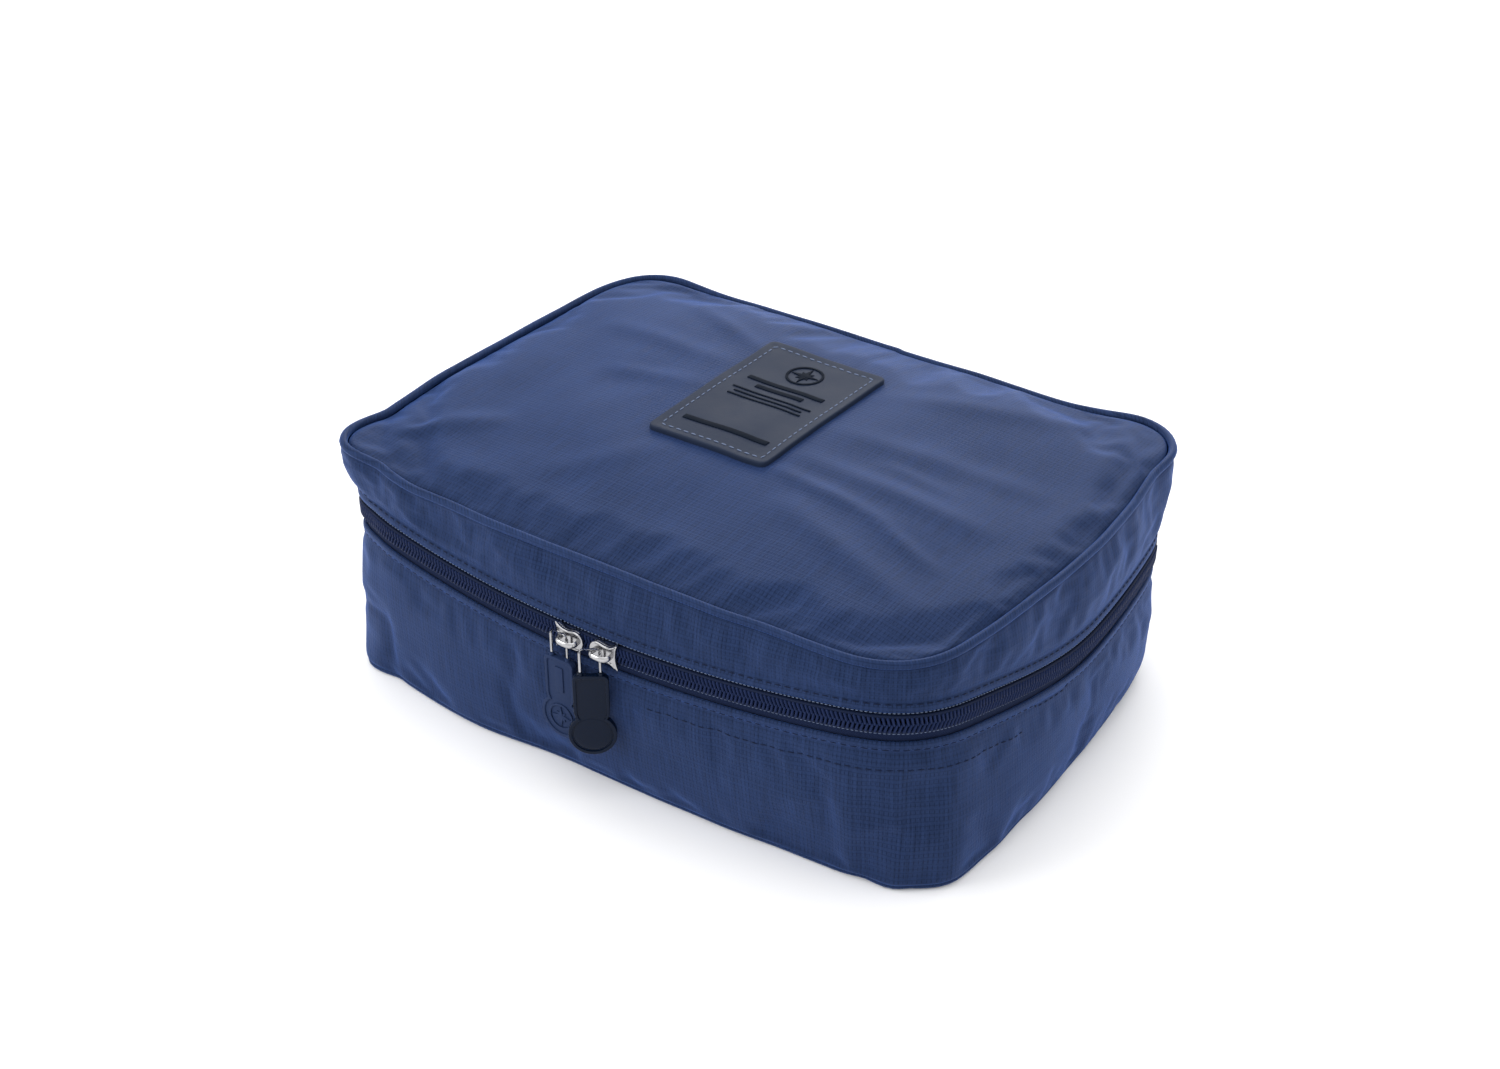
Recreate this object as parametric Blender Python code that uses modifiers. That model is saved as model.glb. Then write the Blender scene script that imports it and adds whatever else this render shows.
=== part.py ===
"""Soft box-shaped travel organizer that zips round three sides, with a hinged lid, two zip sliders and a lid pocket.

The front is at -Y, the back seam that the lid turns on is at +Y, and the case stands on Z = 0.
"""

from collections import namedtuple
from math import asin, cos, pi, radians, sin, sqrt

import bmesh
import bpy
from mathutils import Matrix, Vector
from mathutils.geometry import interpolate_bezier

MM = 0.001
NAME = "travel_organizer"

# The case, measured on its outer fabric.
HALF_WIDTH = 105 * MM  # at the corners
HALF_DEPTH = 78.4 * MM
BODY_CENTRE_Y = 8.67 * MM  # puts the whole part's box on the origin, pulls included
SIDE_BULGE = 8 * MM
FRONT_CORNER_X = 80 * MM  # where the front's arc gives way to the corner
BACK_CORNER_X = 88 * MM
SIDE_CORNER_Y = 54 * MM
CORNER_FULLNESS = 0.42
FRONT_STEPS, SIDE_STEPS, CORNER_STEPS, BACK_STEPS = 8, 6, 5, 2

# The zip line. Its front is one circular arc in a plane that leans between outwards and down.
ZIP_CORNER_Z = 63 * MM
FRONT_SAG = 8.5 * MM
FRONT_BULGE = 8.04 * MM
ARC_RISE = sqrt(FRONT_SAG**2 + FRONT_BULGE**2)
ARC_RADIUS = (HALF_WIDTH**2 + ARC_RISE**2) / (2 * ARC_RISE)
OUT_SHARE = FRONT_BULGE / ARC_RISE
DOWN_SHARE = FRONT_SAG / ARC_RISE
HINGE_Z = 47.5 * MM
ZIP_END_Y = 69 * MM  # on the back corners, where the band gives way to the back panel
SIDE_FALL = 110 * MM  # length along the corner and side over which the zip comes down to the hinge's height

# Layers, as distances out of the outer fabric's face, so inner ones are negative.
FABRIC = 0.6 * MM
TAPE_OUT, TAPE = -0.9 * MM, 0.8 * MM
PAD_OUT, PAD = -2.0 * MM, 2.4 * MM
LINING_OUT, LINING = -4.7 * MM, 0.5 * MM
COIL_OUT, COIL = 1.0 * MM, 1.6 * MM

# Heights.
PIPING_RADIUS = 1.2 * MM
PIPING_OUT = -0.3 * MM
BASE_PIPING_Z = 1.3 * MM
BASE_PANEL = 0.8 * MM
BOARD_Z, BOARD = 1.1 * MM, 1.4 * MM
LINING_FLOOR_Z = 2.8 * MM
LINING_CORNER = 1.2 * MM
WALL_LOW_Z = 2.8 * MM
PAD_LOW_Z = 3.4 * MM
LID_SEAM_Z = 79 * MM
LID_WALL_TOP_Z = 77.5 * MM
LID_PAD_LOW_Z = 75.8 * MM
LID_WALL_PAD_TOP_Z = 75.4 * MM
LID_LINING_Z = 75.4 * MM
CROWN = 7 * MM
CROWN_POWER = 2.2
CROWN_SQUARENESS = 5

# Half heights either side of the zip line.
COIL_NEAR, COIL_FAR = 0.6 * MM, 3.0 * MM
TAPE_FAR = 12 * MM
WALL_GAP = 4.6 * MM
PAD_GAP = 5.2 * MM
HINGE_GAP = 0.4 * MM

# Label, divider and lid pocket.
PATCH_SIZE = (45 * MM, 70 * MM)
PATCH_CENTRE = (-7.3 * MM, 16 * MM)
PATCH_THICKNESS = 2 * MM
DIVIDER_X, DIVIDER_THICKNESS, DIVIDER_TOP_Z = 36 * MM, 3 * MM, 43 * MM
POCKET_HALF_WIDTH = 78 * MM
POCKET_BACK_Y = 60 * MM
POCKET_ZIP_Y = -50 * MM
POCKET_TOP_Z = 73 * MM
POCKET_SHEET = 0.5 * MM
POCKET_TAPE = 7.4 * MM
POCKET_SLIDER_X = -50 * MM
BINDING_OUT, BINDING_RADIUS = 1.2 * MM, 0.8 * MM

# Zip sliders and their pulls.
SLIDER_REST_X = 6.2 * MM
SLIDER_HALF_LENGTH, SLIDER_HALF_HEIGHT = 4.9 * MM, 3.5 * MM
PLATE = 1.0 * MM
PLATE_OUT, BACK_PLATE_OUT = 1.4 * MM, -2.2 * MM
WEB_HALF = 0.3 * MM
BRIDGE_FOOT, BRIDGE_OUT, BRIDGE_RADIUS = 2.9 * MM, 5.2 * MM, 0.5 * MM
WIRE_RADIUS = 0.45 * MM
RING_WIDTH, RING_TOP, RING_OUT = 6 * MM, 2.2 * MM, 3.55 * MM
TAB_TOP = -7 * MM
TAB_LENGTH, TAB_WIDTH, TAB_DISC, TAB_THICKNESS = 28.5 * MM, 10.7 * MM, 7.25 * MM, 2 * MM
RIGHT_PULL_YAW = radians(35)
END_TAB_DROP = 9 * MM
TAB_OUT = 1.1 * MM
TOUCH = 0.3 * MM

Station = namedtuple("Station", "x y nx ny zip_z on_zip")


def clear_scene():
    for obj in list(bpy.data.objects):
        bpy.data.objects.remove(obj, do_unlink=True)


def new_collection(name):
    collection = bpy.data.collections.new(name)
    bpy.context.scene.collection.children.link(collection)
    return collection


def material(name, colour, roughness, metallic=0.0):
    made = bpy.data.materials.new(name)
    made.use_nodes = True
    shader = made.node_tree.nodes["Principled BSDF"]
    shader.inputs["Base Color"].default_value = (*colour, 1)
    shader.inputs["Roughness"].default_value = roughness
    shader.inputs["Metallic"].default_value = metallic
    made.diffuse_color = (*colour, 1)
    return made


# ---- the outline and the zip line ----


def arc_height(x):
    """How far the front's arc stands from its chord at x, in its own leaning plane."""
    return sqrt(ARC_RADIUS**2 - x * x) - sqrt(ARC_RADIUS**2 - HALF_WIDTH**2)


def front_y(x):
    return -HALF_DEPTH - OUT_SHARE * arc_height(x)


def side_x(y):
    return HALF_WIDTH + SIDE_BULGE * (1 - (y / HALF_DEPTH) ** 2)


def spaced(start, end, steps):
    return [start + (end - start) * i / steps for i in range(steps + 1)]


def corner(before, after):
    """Points of a rounded corner that leaves one run and joins the next in line with both."""
    start, end = before[-1], after[0]
    reach = CORNER_FULLNESS * (end - start).length
    leave = start + (start - before[-2]).normalized() * reach
    arrive = end - (after[1] - end).normalized() * reach
    return interpolate_bezier(start, leave, arrive, end, CORNER_STEPS + 1)[1:-1]


def half_outline():
    """The right half's points from the middle of the front to the middle of the back, and how many are on the front."""
    front = [Vector((x, front_y(x))) for x in spaced(0, FRONT_CORNER_X, FRONT_STEPS)]
    side = [Vector((side_x(y), y)) for y in spaced(-SIDE_CORNER_Y, SIDE_CORNER_Y, SIDE_STEPS)]
    back = [Vector((x, HALF_DEPTH)) for x in spaced(BACK_CORNER_X, 0, BACK_STEPS)]
    return front + corner(front, side) + side + corner(side, back) + back, len(front)


def zip_height(x, run):
    """Height of the zip line at x on the front, or at that run past the front."""
    if run <= 0:
        return ZIP_CORNER_Z - DOWN_SHARE * arc_height(x)
    start = ZIP_CORNER_Z - DOWN_SHARE * arc_height(FRONT_CORNER_X)
    slope = DOWN_SHARE * FRONT_CORNER_X / sqrt(ARC_RADIUS**2 - FRONT_CORNER_X**2)
    t = min(1, run / SIDE_FALL)
    ease = t * t * (3 - 2 * t)
    return start * (1 - ease) + HINGE_Z * ease + slope * SIDE_FALL * t * (1 - t) ** 2


def make_stations():
    """The outline from the middle of the back, round the left side and front, to the back again."""
    half, front_count = half_outline()
    runs = [0.0] * front_count
    for i in range(front_count, len(half)):
        runs.append(runs[-1] + (half[i] - half[i - 1]).length)
    right = [(p.x, p.y, zip_height(p.x, run), p.y < ZIP_END_Y) for p, run in zip(half, runs)]
    left = [(-x, y, z, on_zip) for x, y, z, on_zip in reversed(right[1:-1])]
    loop = [right[-1]] + left + right[:-1]
    stations = []
    for i, (x, y, z, on_zip) in enumerate(loop):
        before, after = loop[i - 1], loop[(i + 1) % len(loop)]
        along = Vector((after[0] - before[0], after[1] - before[1])).normalized()
        stations.append(Station(x, y, along.y, -along.x, z, on_zip))
    return stations


STATIONS = make_stations()
ZIP_STATIONS = [s for s in STATIONS if s.on_zip]


def between(a, b, gap):
    """A station this far from the first of two towards the second."""
    share = gap / sqrt((a.x - b.x) ** 2 + (a.y - b.y) ** 2)
    values = [p + (q - p) * share for p, q in zip(a[:5], b[:5])]
    return Station(*values, False)


def back_stations():
    """The back's stations from the right zip end to the left one, a little clear of both."""
    first = STATIONS.index(ZIP_STATIONS[-1]) + 1
    last = STATIONS.index(ZIP_STATIONS[0]) - 1
    run = STATIONS[first:] + STATIONS[: last + 1]
    start = between(ZIP_STATIONS[-1], run[0], 2 * TOUCH)
    end = between(ZIP_STATIONS[0], run[-1], 2 * TOUCH)
    return [start] + run + [end]


BACK_STATIONS = back_stations()


def place(station, out, z):
    return Vector((station.x + station.nx * out, station.y + station.ny * out + BODY_CENTRE_Y, z))


def ring(out, z, stations=None):
    """The outline moved out of the outer face by that much, at a height that may follow the station."""
    return [place(s, out, z(s) if callable(z) else z) for s in stations or STATIONS]


def from_zip(side, gap):
    """Height this far above (side 1) or below (side -1) the zip, or just off the hinge line behind it."""
    return lambda s: s.zip_z + side * gap if s.on_zip else HINGE_Z + side * HINGE_GAP


def crown(x, y):
    """Height of the lid's pillow over its seam."""
    reach = (abs(x) / (HALF_WIDTH + SIDE_BULGE)) ** CROWN_SQUARENESS
    reach += (abs(y - BODY_CENTRE_Y) / HALF_DEPTH) ** CROWN_SQUARENESS
    return CROWN * (1 - min(1, reach ** (1 / CROWN_SQUARENESS)) ** CROWN_POWER)


# ---- builders ----


def add_object(name, mesh, finish, collection):
    obj = bpy.data.objects.new(name, mesh)
    collection.objects.link(obj)
    if finish:
        mesh.materials.append(finish)
    return obj


def mesh_of(name, bm, smooth=True):
    mesh = bpy.data.meshes.new(name)
    bm.to_mesh(mesh)
    bm.free()
    if smooth:
        mesh.shade_smooth()
        mesh.set_sharp_from_angle(angle=radians(35))
    return mesh


def solidify(obj, thickness):
    """Thickens a sheet on the side away from its normals."""
    modifier = obj.modifiers.new("thickness", "SOLIDIFY")
    modifier.thickness = thickness
    modifier.offset = -1
    modifier.use_even_offset = True
    return obj


def loft(rings, closed, centre=None, flat_ends=()):
    """A bmesh of faces between unlike rings, with the last ring closed on a centre point or a ring filled flat."""
    bm = bmesh.new()
    rows = [[bm.verts.new(p) for p in points] for points in rings]
    count = len(rings[0])
    for low, high in zip(rows, rows[1:]):
        for i in range(count if closed else count - 1):
            j = (i + 1) % count
            bm.faces.new((low[i], low[j], high[j], high[i]))
    if centre is not None:
        tip = bm.verts.new(centre)
        for i in range(count):
            bm.faces.new((rows[-1][i], rows[-1][(i + 1) % count], tip))
    for end in flat_ends:
        bmesh.ops.contextual_create(bm, geom=rows[end])
    bmesh.ops.recalc_face_normals(bm, faces=bm.faces)
    return bm


def face_outwards(bm, station):
    """Turns a sheet's faces out of the case, judged by its first face, which stands at the station."""
    bm.faces.ensure_lookup_table()
    if bm.faces[0].normal.dot(Vector((station.nx, station.ny, 0))) < 0:
        bmesh.ops.reverse_faces(bm, faces=bm.faces)


def wall(name, finish, out, thickness, low, high, stations=None):
    """An upright sheet along the outline, between two heights, thickened inwards."""
    chosen = stations or STATIONS
    bm = loft([ring(out, low, chosen), ring(out, high, chosen)], closed=stations is None)
    face_outwards(bm, chosen[0])
    return solidify(add_object(name, mesh_of(name, bm), finish, PARTS), thickness)


def flat_panel(name, finish, out, low, thickness):
    """A flat panel of the outline's shape."""
    curve = bpy.data.curves.new(name, "CURVE")
    curve.dimensions = "2D"
    curve.fill_mode = "BOTH"
    curve.extrude = thickness / 2
    add_spline(curve, [(p.x, p.y, 0) for p in ring(out, 0)], cyclic=True)
    obj = add_object(name, curve, finish, PARTS)
    obj.location.z = low + thickness / 2
    return obj


def add_spline(curve, points, cyclic):
    spline = curve.splines.new("POLY")
    spline.points.add(len(points) - 1)
    for point, place_at in zip(spline.points, points):
        point.co = (*place_at, 1)
    spline.use_cyclic_u = cyclic


def tube(name, finish, points, radius, cyclic=False, resolution=1, collection=None):
    curve = bpy.data.curves.new(name, "CURVE")
    curve.dimensions = "3D"
    curve.bevel_depth = radius
    curve.bevel_resolution = resolution
    curve.use_fill_caps = not cyclic
    add_spline(curve, points, cyclic)
    return add_object(name, curve, finish, collection or PARTS)


def box(name, finish, low, high, collection=None, bevel=0.0):
    bm = bmesh.new()
    bmesh.ops.create_cube(bm, size=1)
    low, high = Vector(low), Vector(high)
    bmesh.ops.scale(bm, vec=high - low, verts=bm.verts)
    bmesh.ops.translate(bm, vec=(low + high) / 2, verts=bm.verts)
    obj = add_object(name, mesh_of(name, bm, smooth=False), finish, collection or PARTS)
    if bevel:
        rounded = obj.modifiers.new("rounded edges", "BEVEL")
        rounded.width = bevel
        rounded.segments = 2
    return obj


def pillow_rings(out, z):
    """Rings that step in from the outline over the lid's crown, and the crown's middle point."""
    outer = ring(out, z)
    middle = Vector((0, BODY_CENTRE_Y, z))
    rings = []
    for share in (1, 0.93, 0.82, 0.66, 0.46, 0.24):
        points = [middle + (p - middle) * share for p in outer]
        rings.append([Vector((p.x, p.y, z + crown(p.x, p.y))) for p in points])
    return rings, middle + Vector((0, 0, CROWN))


def to_mesh(obj):
    """Turns a curve object into a mesh object of the same name, with its caps welded on."""
    evaluated = obj.evaluated_get(bpy.context.evaluated_depsgraph_get())
    mesh = bpy.data.meshes.new_from_object(evaluated)
    bm = bmesh.new()
    bm.from_mesh(mesh)
    bmesh.ops.remove_doubles(bm, verts=bm.verts, dist=0.001 * MM)
    bm.to_mesh(mesh)
    bm.free()
    name, world, collection = obj.name, obj.matrix_world.copy(), obj.users_collection[0]
    bpy.data.objects.remove(obj)
    made = bpy.data.objects.new(name, mesh)
    collection.objects.link(made)
    made.matrix_world = world
    return made


def plate(name, finish, outlines, out, thickness, collection=None):
    """An upright plate, drawn in X and Z, whose inner face stands this far out of the wall."""
    curve = bpy.data.curves.new(name, "CURVE")
    curve.dimensions = "2D"
    curve.fill_mode = "BOTH"
    curve.extrude = thickness / 2
    for points in outlines:
        add_spline(curve, [(x, z, 0) for x, z in points], cyclic=True)
    obj = add_object(name, curve, finish, collection or PARTS)
    obj.matrix_world = Matrix.Translation((0, -out - thickness / 2, 0)) @ Matrix.Rotation(pi / 2, 4, "X")
    bpy.context.view_layer.update()
    obj = to_mesh(obj)
    obj.data.transform(obj.matrix_world)
    obj.matrix_world = Matrix.Identity(4)
    if finish and not obj.data.materials:
        obj.data.materials.append(finish)
    return obj


def unite(obj, pieces):
    """Joins the pieces to the object, which carries them from then on."""
    for piece in pieces:
        piece.hide_render = True
        piece.display_type = "WIRE"
        piece.parent = obj
        joined = obj.modifiers.new(piece.name, "BOOLEAN")
        joined.operation = "UNION"
        joined.object = piece
    return obj


def pivot(name, position, parts):
    """An empty on a joint's axis that carries the moving pieces."""
    empty = bpy.data.objects.new(name, None)
    PARTS.objects.link(empty)
    empty.location = position
    bpy.context.view_layer.update()
    for part in parts:
        part.parent = empty
        part.matrix_parent_inverse = empty.matrix_world.inverted()
    return empty


def arc_points(centre_x, centre_z, radius, start, end, steps):
    return [(centre_x + radius * cos(a), centre_z + radius * sin(a)) for a in spaced(start, end, steps)]


# ---- the base ----


def build_base():
    flat_panel("base_panel", OUTER, PIPING_OUT - PIPING_RADIUS - TOUCH, 0, BASE_PANEL)
    flat_panel("base_board", BOARD_FINISH, LINING_OUT, BOARD_Z, BOARD)
    tube("base_piping", PIPING, ring(PIPING_OUT, BASE_PIPING_Z), PIPING_RADIUS, cyclic=True)
    wall("base_band", OUTER, 0, FABRIC, WALL_LOW_Z, from_zip(-1, WALL_GAP), ZIP_STATIONS)
    wall("base_padding", FOAM, PAD_OUT, PAD, PAD_LOW_Z, from_zip(-1, PAD_GAP))
    build_tub("base_lining", LINING_FLOOR_Z, from_zip(-1, PAD_GAP), thickness=LINING)
    wall("back_panel_lower", OUTER, 0, FABRIC, WALL_LOW_Z, HINGE_Z - HINGE_GAP, BACK_STATIONS)
    build_zip_half("base", -1)
    for name, near in (("zip_end_tab_right", BACK_STATIONS[:3]), ("zip_end_tab_left", BACK_STATIONS[-3:])):
        wall(name, TAPE_FINISH, TAB_OUT, TAB_OUT - TOUCH, HINGE_Z - END_TAB_DROP, HINGE_Z - 2 * TOUCH, near)
    front = front_y(DIVIDER_X + DIVIDER_THICKNESS) - LINING_OUT + LINING + LINING_CORNER
    back = HALF_DEPTH + LINING_OUT - LINING - LINING_CORNER
    half = DIVIDER_THICKNESS / 2
    low = (DIVIDER_X - half, front + BODY_CENTRE_Y, LINING_FLOOR_Z + LINING + TOUCH)
    box("divider", LINING_FINISH, low, (DIVIDER_X + half, back + BODY_CENTRE_Y, DIVIDER_TOP_Z), bevel=1.2 * MM)


def build_tub(name, floor_z, rim, thickness):
    """A lining: walls along the outline and a flat floor or ceiling."""
    step = LINING_CORNER if floor_z < HINGE_Z else -LINING_CORNER
    rings = [ring(LINING_OUT, rim), ring(LINING_OUT, floor_z + step), ring(LINING_OUT - LINING_CORNER, floor_z)]
    bm = loft(rings, closed=True, flat_ends=(-1,))
    face_outwards(bm, STATIONS[0])
    solidify(add_object(name, mesh_of(name, bm), LINING_FINISH, PARTS), thickness)


def build_zip_half(owner, side):
    """One tape and its coil, below (side -1) or above (side 1) the zip line."""
    far, near = from_zip(side, TAPE_FAR), from_zip(side, COIL_NEAR)
    low, high = (far, near) if side < 0 else (near, far)
    wall(f"{owner}_zip_tape", TAPE_FINISH, TAPE_OUT, TAPE, low, high, ZIP_STATIONS)
    edge = from_zip(side, COIL_FAR)
    low, high = (edge, near) if side < 0 else (near, edge)
    wall(f"{owner}_zip_coil", COIL_FINISH, COIL_OUT, COIL, low, high, ZIP_STATIONS)


# ---- the lid ----


def build_lid():
    edge = PIPING_OUT - PIPING_RADIUS - TOUCH
    rings, top = pillow_rings(edge, LID_SEAM_Z + 0.2 * MM)
    sheet = loft(rings, closed=True, centre=top)
    sheet.faces.ensure_lookup_table()
    if sheet.faces[-1].normal.z < 0:
        bmesh.ops.reverse_faces(sheet, faces=sheet.faces)
    solidify(add_object("lid_panel", mesh_of("lid_panel", sheet), OUTER, PARTS), FABRIC)

    rings, top = pillow_rings(edge - MM, LID_SEAM_Z - 0.8 * MM)
    foam = loft([ring(edge - MM, LID_PAD_LOW_Z)] + rings, closed=True, centre=top, flat_ends=(0,))
    add_object("lid_padding", mesh_of("lid_padding", foam), FOAM, PARTS)

    tube("lid_piping", PIPING, ring(PIPING_OUT, LID_SEAM_Z), PIPING_RADIUS, cyclic=True)
    wall("lid_band", OUTER, 0, FABRIC, from_zip(1, WALL_GAP), LID_WALL_TOP_Z, ZIP_STATIONS)
    wall("lid_wall_padding", FOAM, PAD_OUT, PAD, from_zip(1, PAD_GAP), LID_WALL_PAD_TOP_Z)
    build_tub("lid_lining", LID_LINING_Z, from_zip(1, PAD_GAP), thickness=LINING)
    wall("back_panel_upper", OUTER, 0, FABRIC, HINGE_Z + HINGE_GAP, LID_WALL_TOP_Z, BACK_STATIONS)
    build_zip_half("lid", 1)
    build_patch()
    build_pocket()


def build_patch():
    """The label, laid over the lid's crown."""
    bm = bmesh.new()
    bmesh.ops.create_grid(bm, x_segments=5, y_segments=7, size=0.5)
    bmesh.ops.scale(bm, vec=(*PATCH_SIZE, 1), verts=bm.verts)
    corners = [v for v in bm.verts if len(v.link_edges) == 2]
    bmesh.ops.bevel(bm, geom=corners, offset=2 * MM, segments=3, affect="VERTICES", profile=0.5)
    x, y = PATCH_CENTRE
    bmesh.ops.translate(bm, vec=(x, y + BODY_CENTRE_Y, 0), verts=bm.verts)
    for v in bm.verts:
        v.co.z = LID_SEAM_Z + 0.2 * MM + TOUCH + PATCH_THICKNESS + crown(v.co.x, v.co.y)
    solidify(add_object("label_patch", mesh_of("label_patch", bm), PATCH, PARTS), PATCH_THICKNESS)


def build_pocket():
    """The mesh pocket on the lid's inside, with a short zip along its front."""
    half, y0 = POCKET_HALF_WIDTH, POCKET_ZIP_Y + BODY_CENTRE_Y
    low, top = POCKET_TOP_Z - POCKET_SHEET, POCKET_TOP_Z
    tape_end = y0 + COIL_NEAR + POCKET_TAPE
    back = POCKET_BACK_Y + BODY_CENTRE_Y
    box("pocket_mesh", MESH, (-half, tape_end + TOUCH, low), (half, back, top))
    box("pocket_tape_rear", TAPE_FINISH, (-half, y0 + COIL_NEAR, low), (half, tape_end, top))
    box("pocket_tape_front", TAPE_FINISH, (-half, y0 - COIL_NEAR - POCKET_TAPE, low), (half, y0 - COIL_NEAR, top))
    coil_top = low - TOUCH
    coil_low = coil_top - 1.5 * MM
    near, far = COIL_NEAR, COIL_FAR - 0.4 * MM
    box("pocket_coil_rear", COIL_FINISH, (-half, y0 + near, coil_low), (half, y0 + far, coil_top), bevel=0.3 * MM)
    box("pocket_coil_front", COIL_FINISH, (-half, y0 - far, coil_low), (half, y0 - near, coil_top), bevel=0.3 * MM)

    z = POCKET_TOP_Z - POCKET_SHEET / 2
    front = y0 - COIL_NEAR - POCKET_TAPE
    turn = arc_points(half, back, BINDING_OUT, 0, pi / 2, 4)
    route = [(half + BINDING_OUT, front)] + turn + [(-x, y) for x, y in reversed(turn)]
    route.append((-half - BINDING_OUT, front))
    tube("pocket_binding", PIPING, [Vector((x, y, z)) for x, y in route], BINDING_RADIUS)

    plate_top = POCKET_TOP_Z + 1.4 * MM
    lower = coil_low - 0.4 * MM
    x = POCKET_SLIDER_X
    upper_low = (x - 4 * MM, y0 - 3 * MM, POCKET_TOP_Z + 0.4 * MM)
    body = box("pocket_slider", NICKEL, upper_low, (x + 4 * MM, y0 + 3 * MM, plate_top))
    web_low, web_high = (x - 2 * MM, y0 - WEB_HALF, lower - 0.5 * MM), (x + 2 * MM, y0 + WEB_HALF, plate_top - 0.5 * MM)
    web = box("pocket_slider_web", None, web_low, web_high, CUTTERS)
    face_low, face_high = (x - 4 * MM, y0 - 3 * MM, lower - PLATE), (x + 4 * MM, y0 + 3 * MM, lower)
    face = box("pocket_slider_face", None, face_low, face_high, CUTTERS)
    hook_z = lower - PLATE - 2.4 * MM
    feet = [(x, y0 - 2.3 * MM, lower - 0.5 * MM), (x, y0 - 2.3 * MM, hook_z)]
    feet += [(x, y0 + 2.3 * MM, hook_z), (x, y0 + 2.3 * MM, lower - 0.5 * MM)]
    hook = tube("pocket_slider_hook", None, feet, BRIDGE_RADIUS, collection=CUTTERS)
    bpy.context.view_layer.update()
    unite(body, [web, face, to_mesh(hook)])

    eye, length, half_tab = 1.0 * MM, 12 * MM, 2.2 * MM
    edge = arc_points(0, 0, half_tab, 0, pi, 8) + arc_points(0, -length, half_tab, pi, 2 * pi, 8)
    hole = arc_points(0, 0, eye, 0, 2 * pi, 12)[:-1]
    pull = plate("pocket_pull", NICKEL, [edge, hole], -0.5 * MM, MM)
    pull.data.transform(Matrix.Translation((x, y0, hook_z)))
    pivot("pocket_pull_pivot", (x, y0, hook_z), [pull])


# ---- sliders and pulls ----


def track_angle(x):
    return asin(x / ARC_RADIUS)


ARC_CENTRE = Vector((
    0,
    -HALF_DEPTH + OUT_SHARE * (ARC_RADIUS - ARC_RISE) + BODY_CENTRE_Y,
    ZIP_CORNER_Z + DOWN_SHARE * (ARC_RADIUS - ARC_RISE),
))
TRACK_AXIS = Vector((0, DOWN_SHARE, -OUT_SHARE))


def track_matrix(x):
    """Carries a piece drawn at the zip line's middle along the arc to x."""
    start = Matrix.Translation((0, front_y(0) + BODY_CENTRE_Y, ZIP_CORNER_Z - FRONT_SAG))
    turn = Matrix.Rotation(-track_angle(x), 4, TRACK_AXIS)
    return Matrix.Translation(ARC_CENTRE) @ turn @ Matrix.Translation(-ARC_CENTRE) @ start


def build_slider(side, name):
    """A zip slider whose narrow nose points to the middle of the front."""
    length, height = SLIDER_HALF_LENGTH, SLIDER_HALF_HEIGHT
    nose = 0.62 * height
    outline = [(-length, -nose), (-0.2 * length, -nose), (length, -height), (length, height)]
    outline += [(-0.2 * length, nose), (-length, nose)]
    outline = [(side * x, z) for x, z in outline]
    front = plate(name, NICKEL, [outline], PLATE_OUT, PLATE)
    back = plate(f"{name}_back", None, [outline], BACK_PLATE_OUT - PLATE, PLATE, CUTTERS)
    inner, outer = -BACK_PLATE_OUT + 0.5 * PLATE, -PLATE_OUT - 0.5 * PLATE
    web = box(f"{name}_web", None, (-2.4 * MM, outer, -WEB_HALF), (2.4 * MM, inner, WEB_HALF), CUTTERS)
    lip_low, lip_high = (-length, -PLATE_OUT - 0.5 * PLATE, -height - 0.4 * MM), (length, 0.4 * MM, -COIL_FAR - TOUCH)
    lip = box(f"{name}_lip", None, lip_low, lip_high, CUTTERS)
    foot = -PLATE_OUT - 0.5 * PLATE
    span = [(-BRIDGE_FOOT, foot, 0), (-BRIDGE_FOOT, -BRIDGE_OUT, 0)]
    span += [(BRIDGE_FOOT, -BRIDGE_OUT, 0), (BRIDGE_FOOT, foot, 0)]
    bridge = tube(f"{name}_bridge", None, span, BRIDGE_RADIUS, collection=CUTTERS)
    bpy.context.view_layer.update()
    unite(front, [back, web, lip, to_mesh(bridge)])
    front.matrix_world = track_matrix(side * SLIDER_REST_X)
    return front


def tab_outline():
    """A strip with rounded shoulders that runs into a disc, as (x, z) from the top's middle."""
    half, disc_z = TAB_WIDTH / 2, -TAB_LENGTH + TAB_DISC
    meet = asin(0.62)
    corner_radius = 1.6 * MM
    waist = TAB_DISC * sin(meet)
    top = arc_points(half - corner_radius, -corner_radius, corner_radius, 0, pi / 2, 3)
    top += arc_points(-half + corner_radius, -corner_radius, corner_radius, pi / 2, pi, 3)
    neck = disc_z + TAB_DISC * cos(meet)
    disc = arc_points(0, disc_z, TAB_DISC, pi / 2 + meet, pi / 2 - meet + 2 * pi, 20)
    return top + [(-half, neck + 2 * MM), (-waist, neck + 0.6 * MM)] + disc + [(waist, neck + 0.6 * MM), (half, neck + 2 * MM)]


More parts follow.
